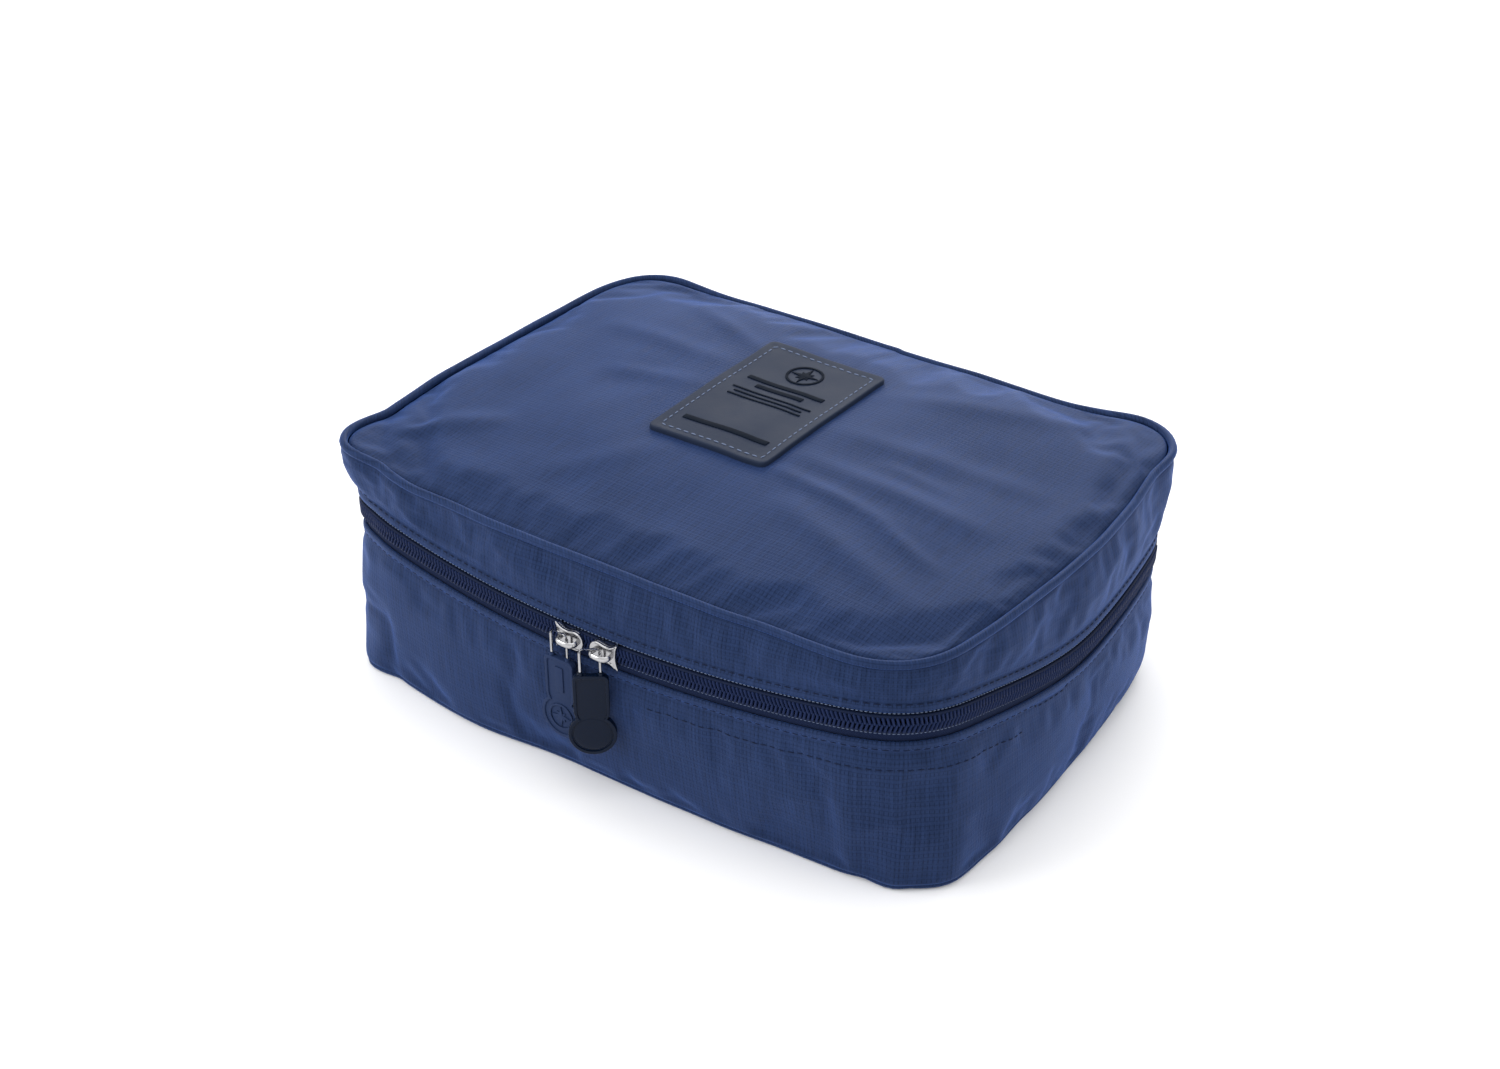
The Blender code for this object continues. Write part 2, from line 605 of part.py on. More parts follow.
def build_pull(side, name, yaw):
    """A wire ring through the slider's bridge and round its left foot, with a soft tab under it."""
    drop = TAB_TOP + TOUCH
    route = [Vector((0, 0, drop)), Vector((0, 0, RING_TOP - MM))]
    route += [Vector((x, 0, z)) for x, z in arc_points(-MM, RING_TOP - MM, MM, 0, pi / 2, 3)]
    route += [Vector((x, 0, z)) for x, z in arc_points(-RING_WIDTH + MM, RING_TOP - MM, MM, pi / 2, pi, 3)]
    route += [Vector((-RING_WIDTH, 0, drop))]
    turn = Matrix.Translation((0, -RING_OUT, 0)) @ Matrix.Rotation(yaw, 4, "Z")
    ring_wire = tube(f"{name}_ring", NICKEL, route, WIRE_RADIUS, resolution=1)
    tab = plate(f"{name}_tab", TAB, [tab_outline()], -TAB_THICKNESS / 2, TAB_THICKNESS)
    tab.data.transform(turn @ Matrix.Translation((-RING_WIDTH / 2, 0, TAB_TOP)))
    ring_wire.data.transform(turn)
    seat = Matrix.Translation(track_matrix(side * SLIDER_REST_X).translation)
    tab.data.transform(seat)
    ring_wire.data.transform(seat)
    foot = seat.translation + Vector((-BRIDGE_FOOT, 0, 0))
    return foot, [ring_wire, tab]


clear_scene()
PARTS = new_collection(NAME)
CUTTERS = new_collection(NAME + "_cutters")
CUTTERS.hide_render = True

OUTER = material("ripstop_nylon", (0.045, 0.068, 0.15), 0.55)
PIPING = material("piping_fabric", (0.035, 0.053, 0.12), 0.6)
TAPE_FINISH = material("zip_tape", (0.02, 0.03, 0.07), 0.8)
COIL_FINISH = material("nylon_coil", (0.012, 0.016, 0.038), 0.35)
FOAM = material("foam", (0.6, 0.6, 0.58), 0.95)
LINING_FINISH = material("lining", (0.05, 0.06, 0.09), 0.7)
MESH = material("pocket_mesh", (0.02, 0.025, 0.05), 0.8)
BOARD_FINISH = material("board", (0.5, 0.5, 0.5), 0.6)
PATCH = material("label_rubber", (0.035, 0.05, 0.085), 0.5)
TAB = material("tab_rubber", (0.012, 0.02, 0.042), 0.3)
NICKEL = material("nickel", (0.62, 0.62, 0.64), 0.22, 1.0)

build_base()
build_lid()
sliders = [build_slider(-1, "slider_left"), build_slider(1, "slider_right")]
for slider in sliders:
    pivot(slider.name + "_track_centre", ARC_CENTRE, [slider])
for side, name, yaw in ((-1, "pull_left", 0), (1, "pull_right", RIGHT_PULL_YAW)):
    foot, pieces = build_pull(side, name, yaw)
    pivot(name + "_pivot", foot, pieces)
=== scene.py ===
import math

import bmesh
import bpy
import numpy as np
from mathutils import Matrix, Vector, noise
from mathutils.bvhtree import BVHTree
from mathutils.geometry import interpolate_bezier


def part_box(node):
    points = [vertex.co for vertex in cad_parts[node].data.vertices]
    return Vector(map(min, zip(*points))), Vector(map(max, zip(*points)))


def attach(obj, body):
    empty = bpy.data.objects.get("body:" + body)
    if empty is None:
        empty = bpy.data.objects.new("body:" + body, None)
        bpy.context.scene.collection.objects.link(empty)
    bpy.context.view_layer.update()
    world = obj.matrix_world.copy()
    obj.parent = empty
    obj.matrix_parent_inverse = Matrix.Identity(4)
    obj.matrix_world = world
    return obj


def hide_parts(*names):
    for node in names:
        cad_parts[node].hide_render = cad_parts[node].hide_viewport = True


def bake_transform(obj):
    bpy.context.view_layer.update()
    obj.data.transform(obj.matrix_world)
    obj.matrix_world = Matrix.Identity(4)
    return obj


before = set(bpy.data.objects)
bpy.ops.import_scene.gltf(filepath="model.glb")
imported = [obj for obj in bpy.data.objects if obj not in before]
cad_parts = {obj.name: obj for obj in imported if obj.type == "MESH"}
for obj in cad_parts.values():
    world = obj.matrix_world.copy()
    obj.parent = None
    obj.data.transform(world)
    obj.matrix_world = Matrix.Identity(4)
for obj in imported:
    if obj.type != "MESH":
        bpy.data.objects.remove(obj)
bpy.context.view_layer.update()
mm = 0.001

cameraSettings = {
    "lens": 52.8,
    "azimuth": 35.1,  # degrees round the case from its front
    "elevation": 31.88,
    "distance": 0.8004,
    "target": (-0.0467, 0.0614, 0),  # on the floor, from the middle of the case
}

# The case's outline in metres from the middle of its body: the same driving sizes as the solids have.
caseShape = {
    "halfWidth": 0.105,
    "halfDepth": 0.0784,
    "sideBulge": 0.008,
    "frontBulge": 0.00804,
    "frontSag": 0.0085,
    "zipCornerZ": 0.063,
    "hingeZ": 0.0475,
    "frontCornerX": 0.080,
    "backCornerX": 0.088,
    "sideCornerY": 0.054,
    "zipEndY": 0.0685,
    "sideFall": 0.110,
    "cornerFullness": 0.42,
    "cornerSteps": 22,  # points put into each corner
}

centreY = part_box("back_panel_lower")[1].y - caseShape["halfDepth"]
seamZ = (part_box("lid_piping")[0].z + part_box("lid_piping")[1].z) / 2


def placeCamera():
    data = bpy.data.cameras.new("camera")
    data.lens = cameraSettings["lens"]
    data.clip_start = 0.01
    camera = bpy.data.objects.new("camera", data)
    bpy.context.scene.collection.objects.link(camera)
    turn, lift = math.radians(cameraSettings["azimuth"]), math.radians(cameraSettings["elevation"])
    back = Vector((math.sin(turn) * math.cos(lift), -math.cos(turn) * math.cos(lift), math.sin(lift)))
    x, y, z = cameraSettings["target"]
    camera.location = Vector((x, y + centreY, z)) + back * cameraSettings["distance"]
    camera.rotation_mode = "QUATERNION"
    camera.rotation_quaternion = (-back).to_track_quat("-Z", "Y")
    bpy.context.scene.camera = camera


# Large soft lamps: place, size and power of each, with a white room round them.
studio = {
    "backLamp": ((-0.42, 1.15, 0.62), (1.0, 0.5), 7),
    "leftLamp": ((-1.0, -1.05, 0.8), (0.9, 0.9), 10),
    "topLamp": ((-0.1, 0.1, 1.6), (1.6, 1.6), 9),
    "aim": (0, 0, 0.04),
    "room": 1.15,
    "floorColour": (0.93, 0.93, 0.935),
    "floorHalf": 4,
}


def buildStudio():
    for name in ("backLamp", "leftLamp", "topLamp"):
        place, size, power = studio[name]
        data = bpy.data.lights.new(name, "AREA")
        data.shape = "RECTANGLE"
        data.size, data.size_y = size
        data.energy = power
        lamp = bpy.data.objects.new(name, data)
        lamp.location = place
        lamp.rotation_mode = "QUATERNION"
        lamp.rotation_quaternion = (Vector(studio["aim"]) - Vector(place)).to_track_quat("-Z", "Y")
        bpy.context.scene.collection.objects.link(lamp)
    world = bpy.data.worlds.new("room")
    world.use_nodes = True
    world.node_tree.nodes["Background"].inputs["Color"].default_value = (1, 1, 1, 1)
    world.node_tree.nodes["Background"].inputs["Strength"].default_value = studio["room"]
    bpy.context.scene.world = world
    bpy.context.scene.view_settings.view_transform = "Standard"
    bm = bmesh.new()
    bmesh.ops.create_grid(bm, x_segments=1, y_segments=1, size=studio["floorHalf"])
    paint = newPaint("floorPaint", studio["floorColour"], {"Roughness": 0.9, "Specular IOR Level": 0.1})[0]
    finishPiece("floor", bm, paint)


def smooth(t):
    t = min(1.0, max(0.0, t))
    return t * t * (3 - 2 * t)


def bell(away, width):
    return math.exp(-((away / width) ** 2))


def wobble(x, y, z):
    # Smooth noise about 0, the same on every run.
    return noise.noise(Vector((x, y, z)))


# The outline that every soft piece follows.
def arcHeight(x):
    rise = math.hypot(caseShape["frontBulge"], caseShape["frontSag"])
    radius = (caseShape["halfWidth"] ** 2 + rise**2) / (2 * rise)
    return math.sqrt(radius**2 - x * x) - math.sqrt(radius**2 - caseShape["halfWidth"] ** 2), rise


def frontY(x):
    height, rise = arcHeight(x)
    return -caseShape["halfDepth"] - caseShape["frontBulge"] / rise * height


def frontZipZ(x):
    height, rise = arcHeight(x)
    return caseShape["zipCornerZ"] - caseShape["frontSag"] / rise * height


def sideX(y):
    return caseShape["halfWidth"] + caseShape["sideBulge"] * (1 - (y / caseShape["halfDepth"]) ** 2)


def roundCorner(before, after):
    start, end = before[-1], after[0]
    reach = caseShape["cornerFullness"] * (end - start).length
    leave = start + (start - before[-2]).normalized() * reach
    arrive = end - (after[1] - end).normalized() * reach
    return interpolate_bezier(start, leave, arrive, end, caseShape["cornerSteps"] + 2)[1:-1]


def traceOutline():
    # The right half, from the middle of the front to the middle of the back, by the length run along it.
    front = [Vector((x, frontY(x))) for x in np.linspace(0, caseShape["frontCornerX"], 40)]
    reach = caseShape["sideCornerY"]
    side = [Vector((sideX(y), y)) for y in np.linspace(-reach, reach, 50)]
    back = [Vector((x, caseShape["halfDepth"])) for x in np.linspace(caseShape["backCornerX"], 0, 30)]
    points = front + roundCorner(front, side) + side + roundCorner(side, back) + back
    runs = [0.0]
    for a, b in zip(points, points[1:]):
        runs.append(runs[-1] + (b - a).length)
    half = caseShape["cornerSteps"] // 2
    cornerRun, edgeX = runs[len(front) - 1], caseShape["frontCornerX"]
    startZ, slope = frontZipZ(edgeX), (frontZipZ(edgeX) - frontZipZ(edgeX - mm)) / mm
    fall = caseShape["sideFall"]
    heights = []
    for p, run in zip(points, runs):
        t = min(1, max(0, run - cornerRun) / fall)
        ease = smooth(t)
        past = startZ * (1 - ease) + caseShape["hingeZ"] * ease + slope * fall * t * (1 - t) ** 2
        heights.append(frontZipZ(p.x) if run <= cornerRun else past)
    return {
        "run": np.array(runs),
        "x": np.array([p.x for p in points]),
        "y": np.array([p.y for p in points]),
        "zip": np.array(heights),
        "zipEnd": next(run for p, run in zip(points, runs) if p.y > caseShape["zipEndY"]),
        "cornerRuns": (runs[len(front) + half], runs[len(front) + len(side) + 3 * half]),
    }


outline = traceOutline()
halfRun, zipEnd = outline["run"][-1], outline["zipEnd"]
frontCorner, backCorner = outline["cornerRuns"]
print("outline traced, half of it in mm:", round(halfRun / mm, 1), "zip end:", round(zipEnd / mm, 1))

# How far the soft walls stand out of that outline, as (run from the middle of the front, distance out) in mm.
wallSet = {
    "floor": ((-362, 0), (-262, 1), (-182, 2), (-118, 3), (-103, 5.5), (-88, -1.5), (-60, -1), (-10, -6),
              (60, -6), (90, -5), (103, 0), (118, 4), (136, 3), (155, 1.5), (190, 0), (245, 0), (362, 0)),
    "zip": ((-362, 0), (-262, 1), (-182, 1), (-106, 2), (-92, 0), (0, 0), (60, 0), (104, 0), (182, 2.5),
            (245, 1.5), (300, 0), (362, 0)),
    "seam": ((-362, 4), (-290, 2.5), (-256, 2), (-182, 0), (-128, 0), (-103, 6), (-86, -1), (-45, -3),
             (0, -5), (50, -4), (104, -1), (150, 0), (190, 1), (230, 1), (248, 4), (290, 3), (362, 4)),
    "lift": ((-362, 2), (-262, 3), (-182, 1.5), (-128, 2.5), (-103, 5), (-70, 0.8), (0, 0), (104, 0),
             (150, 0.8), (200, 1.2), (248, 3.5), (290, 2.2), (362, 2)),  # of the lid's seam, upwards
}
seamWave = {"left": -125 * mm, "right": 225 * mm, "ease": 25 * mm, "height": 0.8 * mm, "pace": 32}


def setOut(name, run):
    keys, at = wallSet[name], run / mm
    for (a, outA), (b, outB) in zip(keys, keys[1:]):
        if at <= b:
            return (outA + (outB - outA) * smooth((at - a) / (b - a))) * mm
    return keys[-1][1] * mm


def wrapRun(run):
    return (run + halfRun) % (2 * halfRun) - halfRun


def onOutline(run):
    # Place, outward normal and zip height at a run from the middle of the front, negative to the left.
    run = wrapRun(run)
    at, side = abs(run), 1 if run >= 0 else -1
    a, b = max(0, at - mm), min(halfRun, at + mm)

    def read(key, spot):
        return np.interp(spot, outline["run"], outline[key])

    x, y, z = (float(read(key, at)) for key in ("x", "y", "zip"))
    dx, dy = (read(key, b) - read(key, a) for key in "xy")
    size = math.hypot(dx, dy)
    return x * side, y + centreY, dy / size * side, -dx / size, z


def zipHeight(run):
    return onOutline(run)[4]


def seamHeight(run):
    # The lid's seam rises a little at its corners and waves along its left side and back.
    run = wrapRun(run)
    ease = seamWave["ease"]
    waved = smooth((seamWave["left"] - run) / ease) + smooth((run - seamWave["right"]) / ease)
    return seamZ + setOut("lift", run) + seamWave["height"] * waved * wobble(run * seamWave["pace"], 3.3, 0.7)


def wallPoint(run, z, out=0.0):
    # On the case's outer face at that run and height, and then out of it by some more.
    x, y, nx, ny, zipZ = onOutline(run)
    run = wrapRun(run)
    if z < zipZ:
        low, high, t = "floor", "zip", 1 - (1 - max(0, z / zipZ)) ** 1.5
    else:
        low, high, t = "zip", "seam", min(1, (z - zipZ) / (seamZ - zipZ)) ** 1.4
    reach = setOut(low, run) * (1 - t) + setOut(high, run) * t + out
    return Vector((x + nx * reach, y + ny * reach, z))


def finishPiece(name, bm, paint):
    mesh = bpy.data.meshes.new(name)
    bm.to_mesh(mesh)
    bm.free()
    mesh.shade_smooth()
    obj = bpy.data.objects.new(name, mesh)
    bpy.context.scene.collection.objects.link(obj)
    mesh.materials.append(paint)
    return obj


def addModifier(obj, kind, name, **settings):
    modifier = obj.modifiers.new(name, kind)
    for key, value in settings.items():
        setattr(modifier, key, value)
    return modifier


def fit(piece, body, slot, *nodes):
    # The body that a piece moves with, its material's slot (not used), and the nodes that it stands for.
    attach(piece, body)
    if nodes:
        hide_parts(*nodes)
    return piece


def thicken(obj, thickness, finer=1):
    addModifier(obj, "SOLIDIFY", "thickness", thickness=thickness, offset=-1)
    if finer:
        addModifier(obj, "SUBSURF", "finer", levels=finer, render_levels=finer)
    return obj


def evaluatedMesh(obj):
    bpy.context.view_layer.update()
    return bpy.data.meshes.new_from_object(obj.evaluated_get(bpy.context.evaluated_depsgraph_get()))


def surfaceOf(obj):
    mesh = evaluatedMesh(obj)
    bm = bmesh.new()
    bm.from_mesh(mesh)
    tree = BVHTree.FromBMesh(bm)
    bm.free()
    bpy.data.meshes.remove(mesh)
    return tree


def topOf(tree, x, y):
    hit = tree.ray_cast(Vector((x, y, 0.2)), Vector((0, 0, -1)))[0]
    return hit.z if hit else seamZ


def layCloth(bm, spot):
    # A UV map in metres of cloth, where spot gives each vertex its place.
    uv = bm.loops.layers.uv.new("cloth")
    for face in bm.faces:
        for loop in face.loops:
            loop[uv].uv = spot(loop.vert)


def stripGrid(runs, levels, place):
    # A sheet along the outline. It also gives each vertex's column and row.
    bm = bmesh.new()
    bmesh.ops.create_grid(bm, x_segments=len(runs) - 1, y_segments=len(levels) - 1, size=0.5)
    cells, spots = {}, {}
    for v in bm.verts:
        i, j = round((v.co.x + 0.5) * (len(runs) - 1)), round((v.co.y + 0.5) * (len(levels) - 1))
        cells[v.index] = (i, j)
        v.co = spots[i, j] = place(runs[i], levels[j])
    middle = len(runs) // 2
    climbed = [0.0]
    for j in range(1, len(levels)):
        climbed.append(climbed[-1] + (spots[middle, j] - spots[middle, j - 1]).length)
    layCloth(bm, lambda v: (runs[cells[v.index][0]], climbed[cells[v.index][1]]))
    return bm, cells


def turnFaces(bm, side=1):
    # Turns a wall's faces away from the middle of the case, or with -1 towards it.
    bm.normal_update()
    looks = 0.0
    for face in bm.faces:
        spot = face.calc_center_median()
        looks += face.normal.dot(Vector((spot.x, spot.y - centreY, 0)))
    if looks * side < 0:
        bmesh.ops.reverse_faces(bm, faces=bm.faces)


def clothStrip(name, runs, levels, place, paint, thickness, side=1, closed=False):
    bm = stripGrid(runs, levels, place)[0]
    if closed:
        bmesh.ops.remove_doubles(bm, verts=bm.verts, dist=0.05 * mm)
    turnFaces(bm, side)
    return thicken(finishPiece(name, bm, paint), thickness)


def panelGrid(out, height, count=(90, 66), lifted=False):
    # A panel of the outline's shape, moved out by that much. height(x, y, rim) is its z, with rim the
    # share of the way in from the nearest edge. A lifted panel has its edge on the lid's seam.
    bm = bmesh.new()
    bmesh.ops.create_grid(bm, x_segments=count[0], y_segments=count[1], size=0.5)
    sideRun = backCorner - frontCorner
    cache = {}

    def onEdge(run):
        key = round(run, 6)
        if key not in cache:
            cache[key] = wallPoint(run, seamZ if lifted else 0, out)
            cache[key].z = seamHeight(run) - seamZ if lifted else 0
        return cache[key]

    corners = [onEdge(run) for run in (-frontCorner, frontCorner, -backCorner, backCorner)]
    for v in bm.verts:
        s, t = v.co.x + 0.5, v.co.y + 0.5
        front = onEdge(-frontCorner + 2 * frontCorner * s)
        back = onEdge(-backCorner - 2 * (halfRun - backCorner) * s)
        left, right = onEdge(-frontCorner - sideRun * t), onEdge(frontCorner + sideRun * t)
        across = front * (1 - t) + back * t + left * (1 - s) + right * s
        twice = corners[0] * (1 - s) * (1 - t) + corners[1] * s * (1 - t) + corners[2] * (1 - s) * t
        twice += corners[3] * s * t
        p = across - twice
        v.co = (p.x, p.y, p.z + height(p.x, p.y, min(s, 1 - s, t, 1 - t)))
    layCloth(bm, lambda v: v.co.xy)
    return bm


def spread(start, end, pitch):
    return [float(x) for x in np.linspace(start, end, max(2, round(abs(end - start) / pitch) + 1))]


def tube(name, points, radius, paint, cyclic=False, sides=2):
    curve = bpy.data.curves.new(name, "CURVE")
    curve.dimensions = "3D"
    curve.bevel_depth = radius
    curve.bevel_resolution = sides
    curve.use_fill_caps = not cyclic
    spline = curve.splines.new("POLY")
    spline.points.add(len(points) - 1)
    for point, place in zip(spline.points, points):
        point.co = (*place, 1)
    spline.use_cyclic_u = cyclic
    return curvePiece(name, curve, paint)


def curvePiece(name, curve, paint):
    # Turns a curve into a mesh piece with its caps welded on.
    holder = bpy.data.objects.new(name, curve)
    bpy.context.scene.collection.objects.link(holder)
    bm = bmesh.new()
    bm.from_mesh(evaluatedMesh(holder))
    bpy.data.objects.remove(holder)
    bmesh.ops.remove_doubles(bm, verts=bm.verts, dist=0.004 * mm)
    bmesh.ops.recalc_face_normals(bm, faces=bm.faces)
    piece = finishPiece(name, bm, paint)
    piece.data.set_sharp_from_angle(angle=math.radians(40))
    return piece


def flatShape(name, outlines, low, high, paint, rounding=0.0):
    # A plate in X and Y between two heights, with rounded edges.
    curve = bpy.data.curves.new(name, "CURVE")
    curve.dimensions = "2D"
    curve.fill_mode = "BOTH"
    curve.extrude = (high - low) / 2 - rounding
    curve.bevel_depth, curve.bevel_resolution, curve.offset = rounding, 2, -rounding
    for points in outlines:
        spline = curve.splines.new("POLY")
        spline.points.add(len(points) - 1)
        for point, place in zip(spline.points, points):
            point.co = (place[0], place[1], 0, 1)
        spline.use_cyclic_u = True
    piece = curvePiece(name, curve, paint)
    piece.data.transform(Matrix.Translation((0, 0, (low + high) / 2)))
    return piece


def smoothLine(points, steps):
    # A soft curve through a few points.
    points = [Vector(p) for p in points]
    line = []
    for before, a, b, after in zip(points[:1] + points, points, points[1:], points[2:] + points[-1:]):
        line += interpolate_bezier(a, a + (b - before) / 6, b - (after - a) / 6, b, steps + 1)[:-1]
    return line + [points[-1]]


def arcLine(centre, radius, start, end, steps):
    angles = [math.radians(a) for a in np.linspace(start, end, steps)]
    return [(centre[0] + radius * math.cos(a), centre[1] + radius * math.sin(a)) for a in angles]


def joinPieces(name, pieces):
    bm = bmesh.new()
    paint = pieces[0].data.materials[0]
    for piece in pieces:
        bm.from_mesh(piece.data)
        bpy.data.objects.remove(piece)
    made = finishPiece(name, bm, paint)
    made.data.set_sharp_from_angle(angle=math.radians(40))
    return made


def copiesOf(name, template, places, paint):
    # One small shape set down many times in one mesh.
    bm = bmesh.new()
    for place in places:
        copied = template.copy()
        copied.transform(place)
        bm.from_mesh(copied)
        bpy.data.meshes.remove(copied)
    return finishPiece(name, bm, paint)


def smallShape(name, bm):
    mesh = bpy.data.meshes.new(name)
    bm.to_mesh(mesh)
    bm.free()
    return mesh


def softenEdges(bm, edges, width, steps):
    bmesh.ops.bevel(bm, geom=edges, offset=width, segments=steps, affect="EDGES", profile=0.5, material=-1)


def stitchShape(length, radius):
    bm = bmesh.new()
    bmesh.ops.create_uvsphere(bm, u_segments=6, v_segments=5, radius=1)
    bmesh.ops.rotate(bm, matrix=Matrix.Rotation(math.pi / 2, 3, "Y"), verts=bm.verts)
    bmesh.ops.scale(bm, vec=(length / 2, radius, radius), verts=bm.verts)
    return smallShape("stitch", bm)


def frameAt(point, along, out):
    # X along, Z out of the cloth.
    along = along.normalized()
    out = (out - along * out.dot(along)).normalized()
    return Matrix.Translation(point) @ Matrix((along, out.cross(along), out)).transposed().to_4x4()


def alongRoute(route, pitch):
    # A place every pitch along a route of (point, out) pairs.
    places, travelled, due = [], 0.0, pitch / 2
    for (a, outA), (b, _) in zip(route, route[1:]):
        step = (b - a).length
        while step and travelled + step >= due:
            places.append(frameAt(a.lerp(b, (due - travelled) / step), b - a, outA))
            due += pitch
        travelled += step
    return places


def onCloth(tree, points):
    # Lays points on a piece's face, each with the face's normal.
    laid = []
    for p in points:
        near, normal, _, _ = tree.find_nearest(p)
        laid.append((near + normal * 0.02 * mm, normal))
    return laid


# Thread of each sewn row, in metres: length and thickness of a stitch, and the step from one to the next.
topstitch = {"length": 2.1 * mm, "radius": 0.2 * mm, "pitch": 3.0 * mm}
labelStitch = {"length": 2.0 * mm, "radius": 0.2 * mm, "pitch": 2.9 * mm}
coilStitch = {"length": 0.95 * mm, "radius": 0.16 * mm, "pitch": 1.3 * mm}


def sewRow(name, route, thread, paint, body):
    stitch = stitchShape(thread["length"], thread["radius"])
    fit(copiesOf(name, stitch, alongRoute(route, thread["pitch"]), paint), body, "outer_fabric")


# Cloth under light air pressure from inside, pinned at its seams.
filling = {"pressure": 4.0, "frames": 20, "spare": 0.02, "quality": 5, "mass": 0.15, "bending": 0.2}


def inflate(obj, held, most):
    before = [v.co.copy() for v in obj.data.vertices]
    obj.vertex_groups.new(name="seams").add(held, 1.0, "REPLACE")
    cloth = addModifier(obj, "CLOTH", "filling")
    settings = cloth.settings
    settings.vertex_group_mass = "seams"
    settings.quality = filling["quality"]
    settings.mass = filling["mass"]
    settings.bending_stiffness = filling["bending"]
    settings.shrink_min = -filling["spare"]
    settings.use_pressure = True
    settings.uniform_pressure_force = filling["pressure"]
    settings.effector_weights.gravity = 0
    cloth.collision_settings.use_collision = False
    cloth.point_cache.frame_end = filling["frames"]
    for step in range(1, filling["frames"] + 1):
        bpy.context.scene.frame_set(step)
    blown = evaluatedMesh(obj)
    obj.modifiers.remove(cloth)
    moved = [(b.co - a).length for a, b in zip(before, blown.vertices)]
    for v, a, b in zip(obj.data.vertices, before, blown.vertices):
        step = b.co - a
        v.co = a + step * min(1, most / max(step.length, 1e-9))
    obj.vertex_groups.clear()
    bpy.data.meshes.remove(blown)
    bpy.context.scene.frame_set(1)
    print("filled", obj.name, "most", round(max(moved) / mm, 1), "mm")


def addNode(tree, kind, inputs=None, **settings):
    made = tree.nodes.new("ShaderNode" + kind)
    for key, value in settings.items():
        setattr(made, key, value)
    for key, value in (inputs or {}).items():
        if isinstance(value, bpy.types.NodeSocket):
            tree.links.new(value, made.inputs[key])
        else:
            made.inputs[key].default_value = value
    return made


def sums(tree, operation, a, b=0.0, c=0.0):
    return addNode(tree, "Math", {0: a, 1: b, 2: c}, operation=operation).outputs[0]


def newPaint(name, colour, sockets):
    # A material, its node tree and its shader. The sockets given are the same all over the piece.
    paint = bpy.data.materials.new(name)
    paint.use_nodes = True
    shader = paint.node_tree.nodes["Principled BSDF"]
    shader.inputs["Base Color"].default_value = (*colour, 1)
    for key, value in sockets.items():
        shader.inputs[key].default_value = value
    return paint, paint.node_tree, shader


def whereOn(tree, source):
    # The UV map in metres of cloth, or the object's own coordinates.
    if source == "cloth":
        return addNode(tree, "UVMap", uv_map="cloth").outputs["UV"]
    return addNode(tree, "TexCoord").outputs["Object"]


def ribs(tree, along, pitch, sharpness=1.0):
    # Waves from 0 to 1 every pitch, narrower as sharpness grows.
    wave = sums(tree, "COSINE", sums(tree, "MULTIPLY", along, 2 * math.pi / pitch))
    return sums(tree, "POWER", sums(tree, "MULTIPLY_ADD", wave, 0.5, 0.5), sharpness)


def cloud(tree, where, scale, detail, stretch=(1, 1, 1)):
    moved = addNode(tree, "Mapping", {"Vector": where, "Scale": stretch}).outputs[0]
    looks = {"Vector": moved, "Scale": scale, "Detail": detail, "Roughness": 0.55}
    return addNode(tree, "TexNoise", looks).outputs["Fac"]


def between(tree, value, low, high):
    # Takes 0..1 to low..high.
    return addNode(tree, "MapRange", {"Value": value, "To Min": low, "To Max": high}).outputs[0]


def tint(tree, shader, share, dark, light):
    mix = addNode(tree, "Mix", {"Factor": share}, data_type="RGBA")
    mix.inputs["A"].default_value = (*dark, 1)
    mix.inputs["B"].default_value = (*light, 1)
    tree.links.new(mix.outputs["Result"], shader.inputs["Base Color"])


def emboss(tree, shader, height, depth, strength):
    bump = addNode(tree, "Bump", {"Height": height, "Distance": depth, "Strength": strength})
    tree.links.new(bump.outputs[0], shader.inputs["Normal"])


def scaled(colour, share):
    return tuple(c * share for c in colour)


# Colours are linear. Pitches and depths are in metres.
ripstop = {
    "colour": (0.0128, 0.0230, 0.062),
    "grid": 1.25 * mm,
    "thread": 0.38 * mm,
    "dashPitch": 2.25 * mm,
    "roughness": 0.52,
    "depth": 0.12 * mm,
    "sockets": {"Sheen Weight": 0.38, "Sheen Roughness": 0.4, "Sheen Tint": (0.12, 0.30, 1.0, 1),
                "Specular IOR Level": 0.08, "Specular Tint": (0.4, 0.6, 1.0, 1)},
}


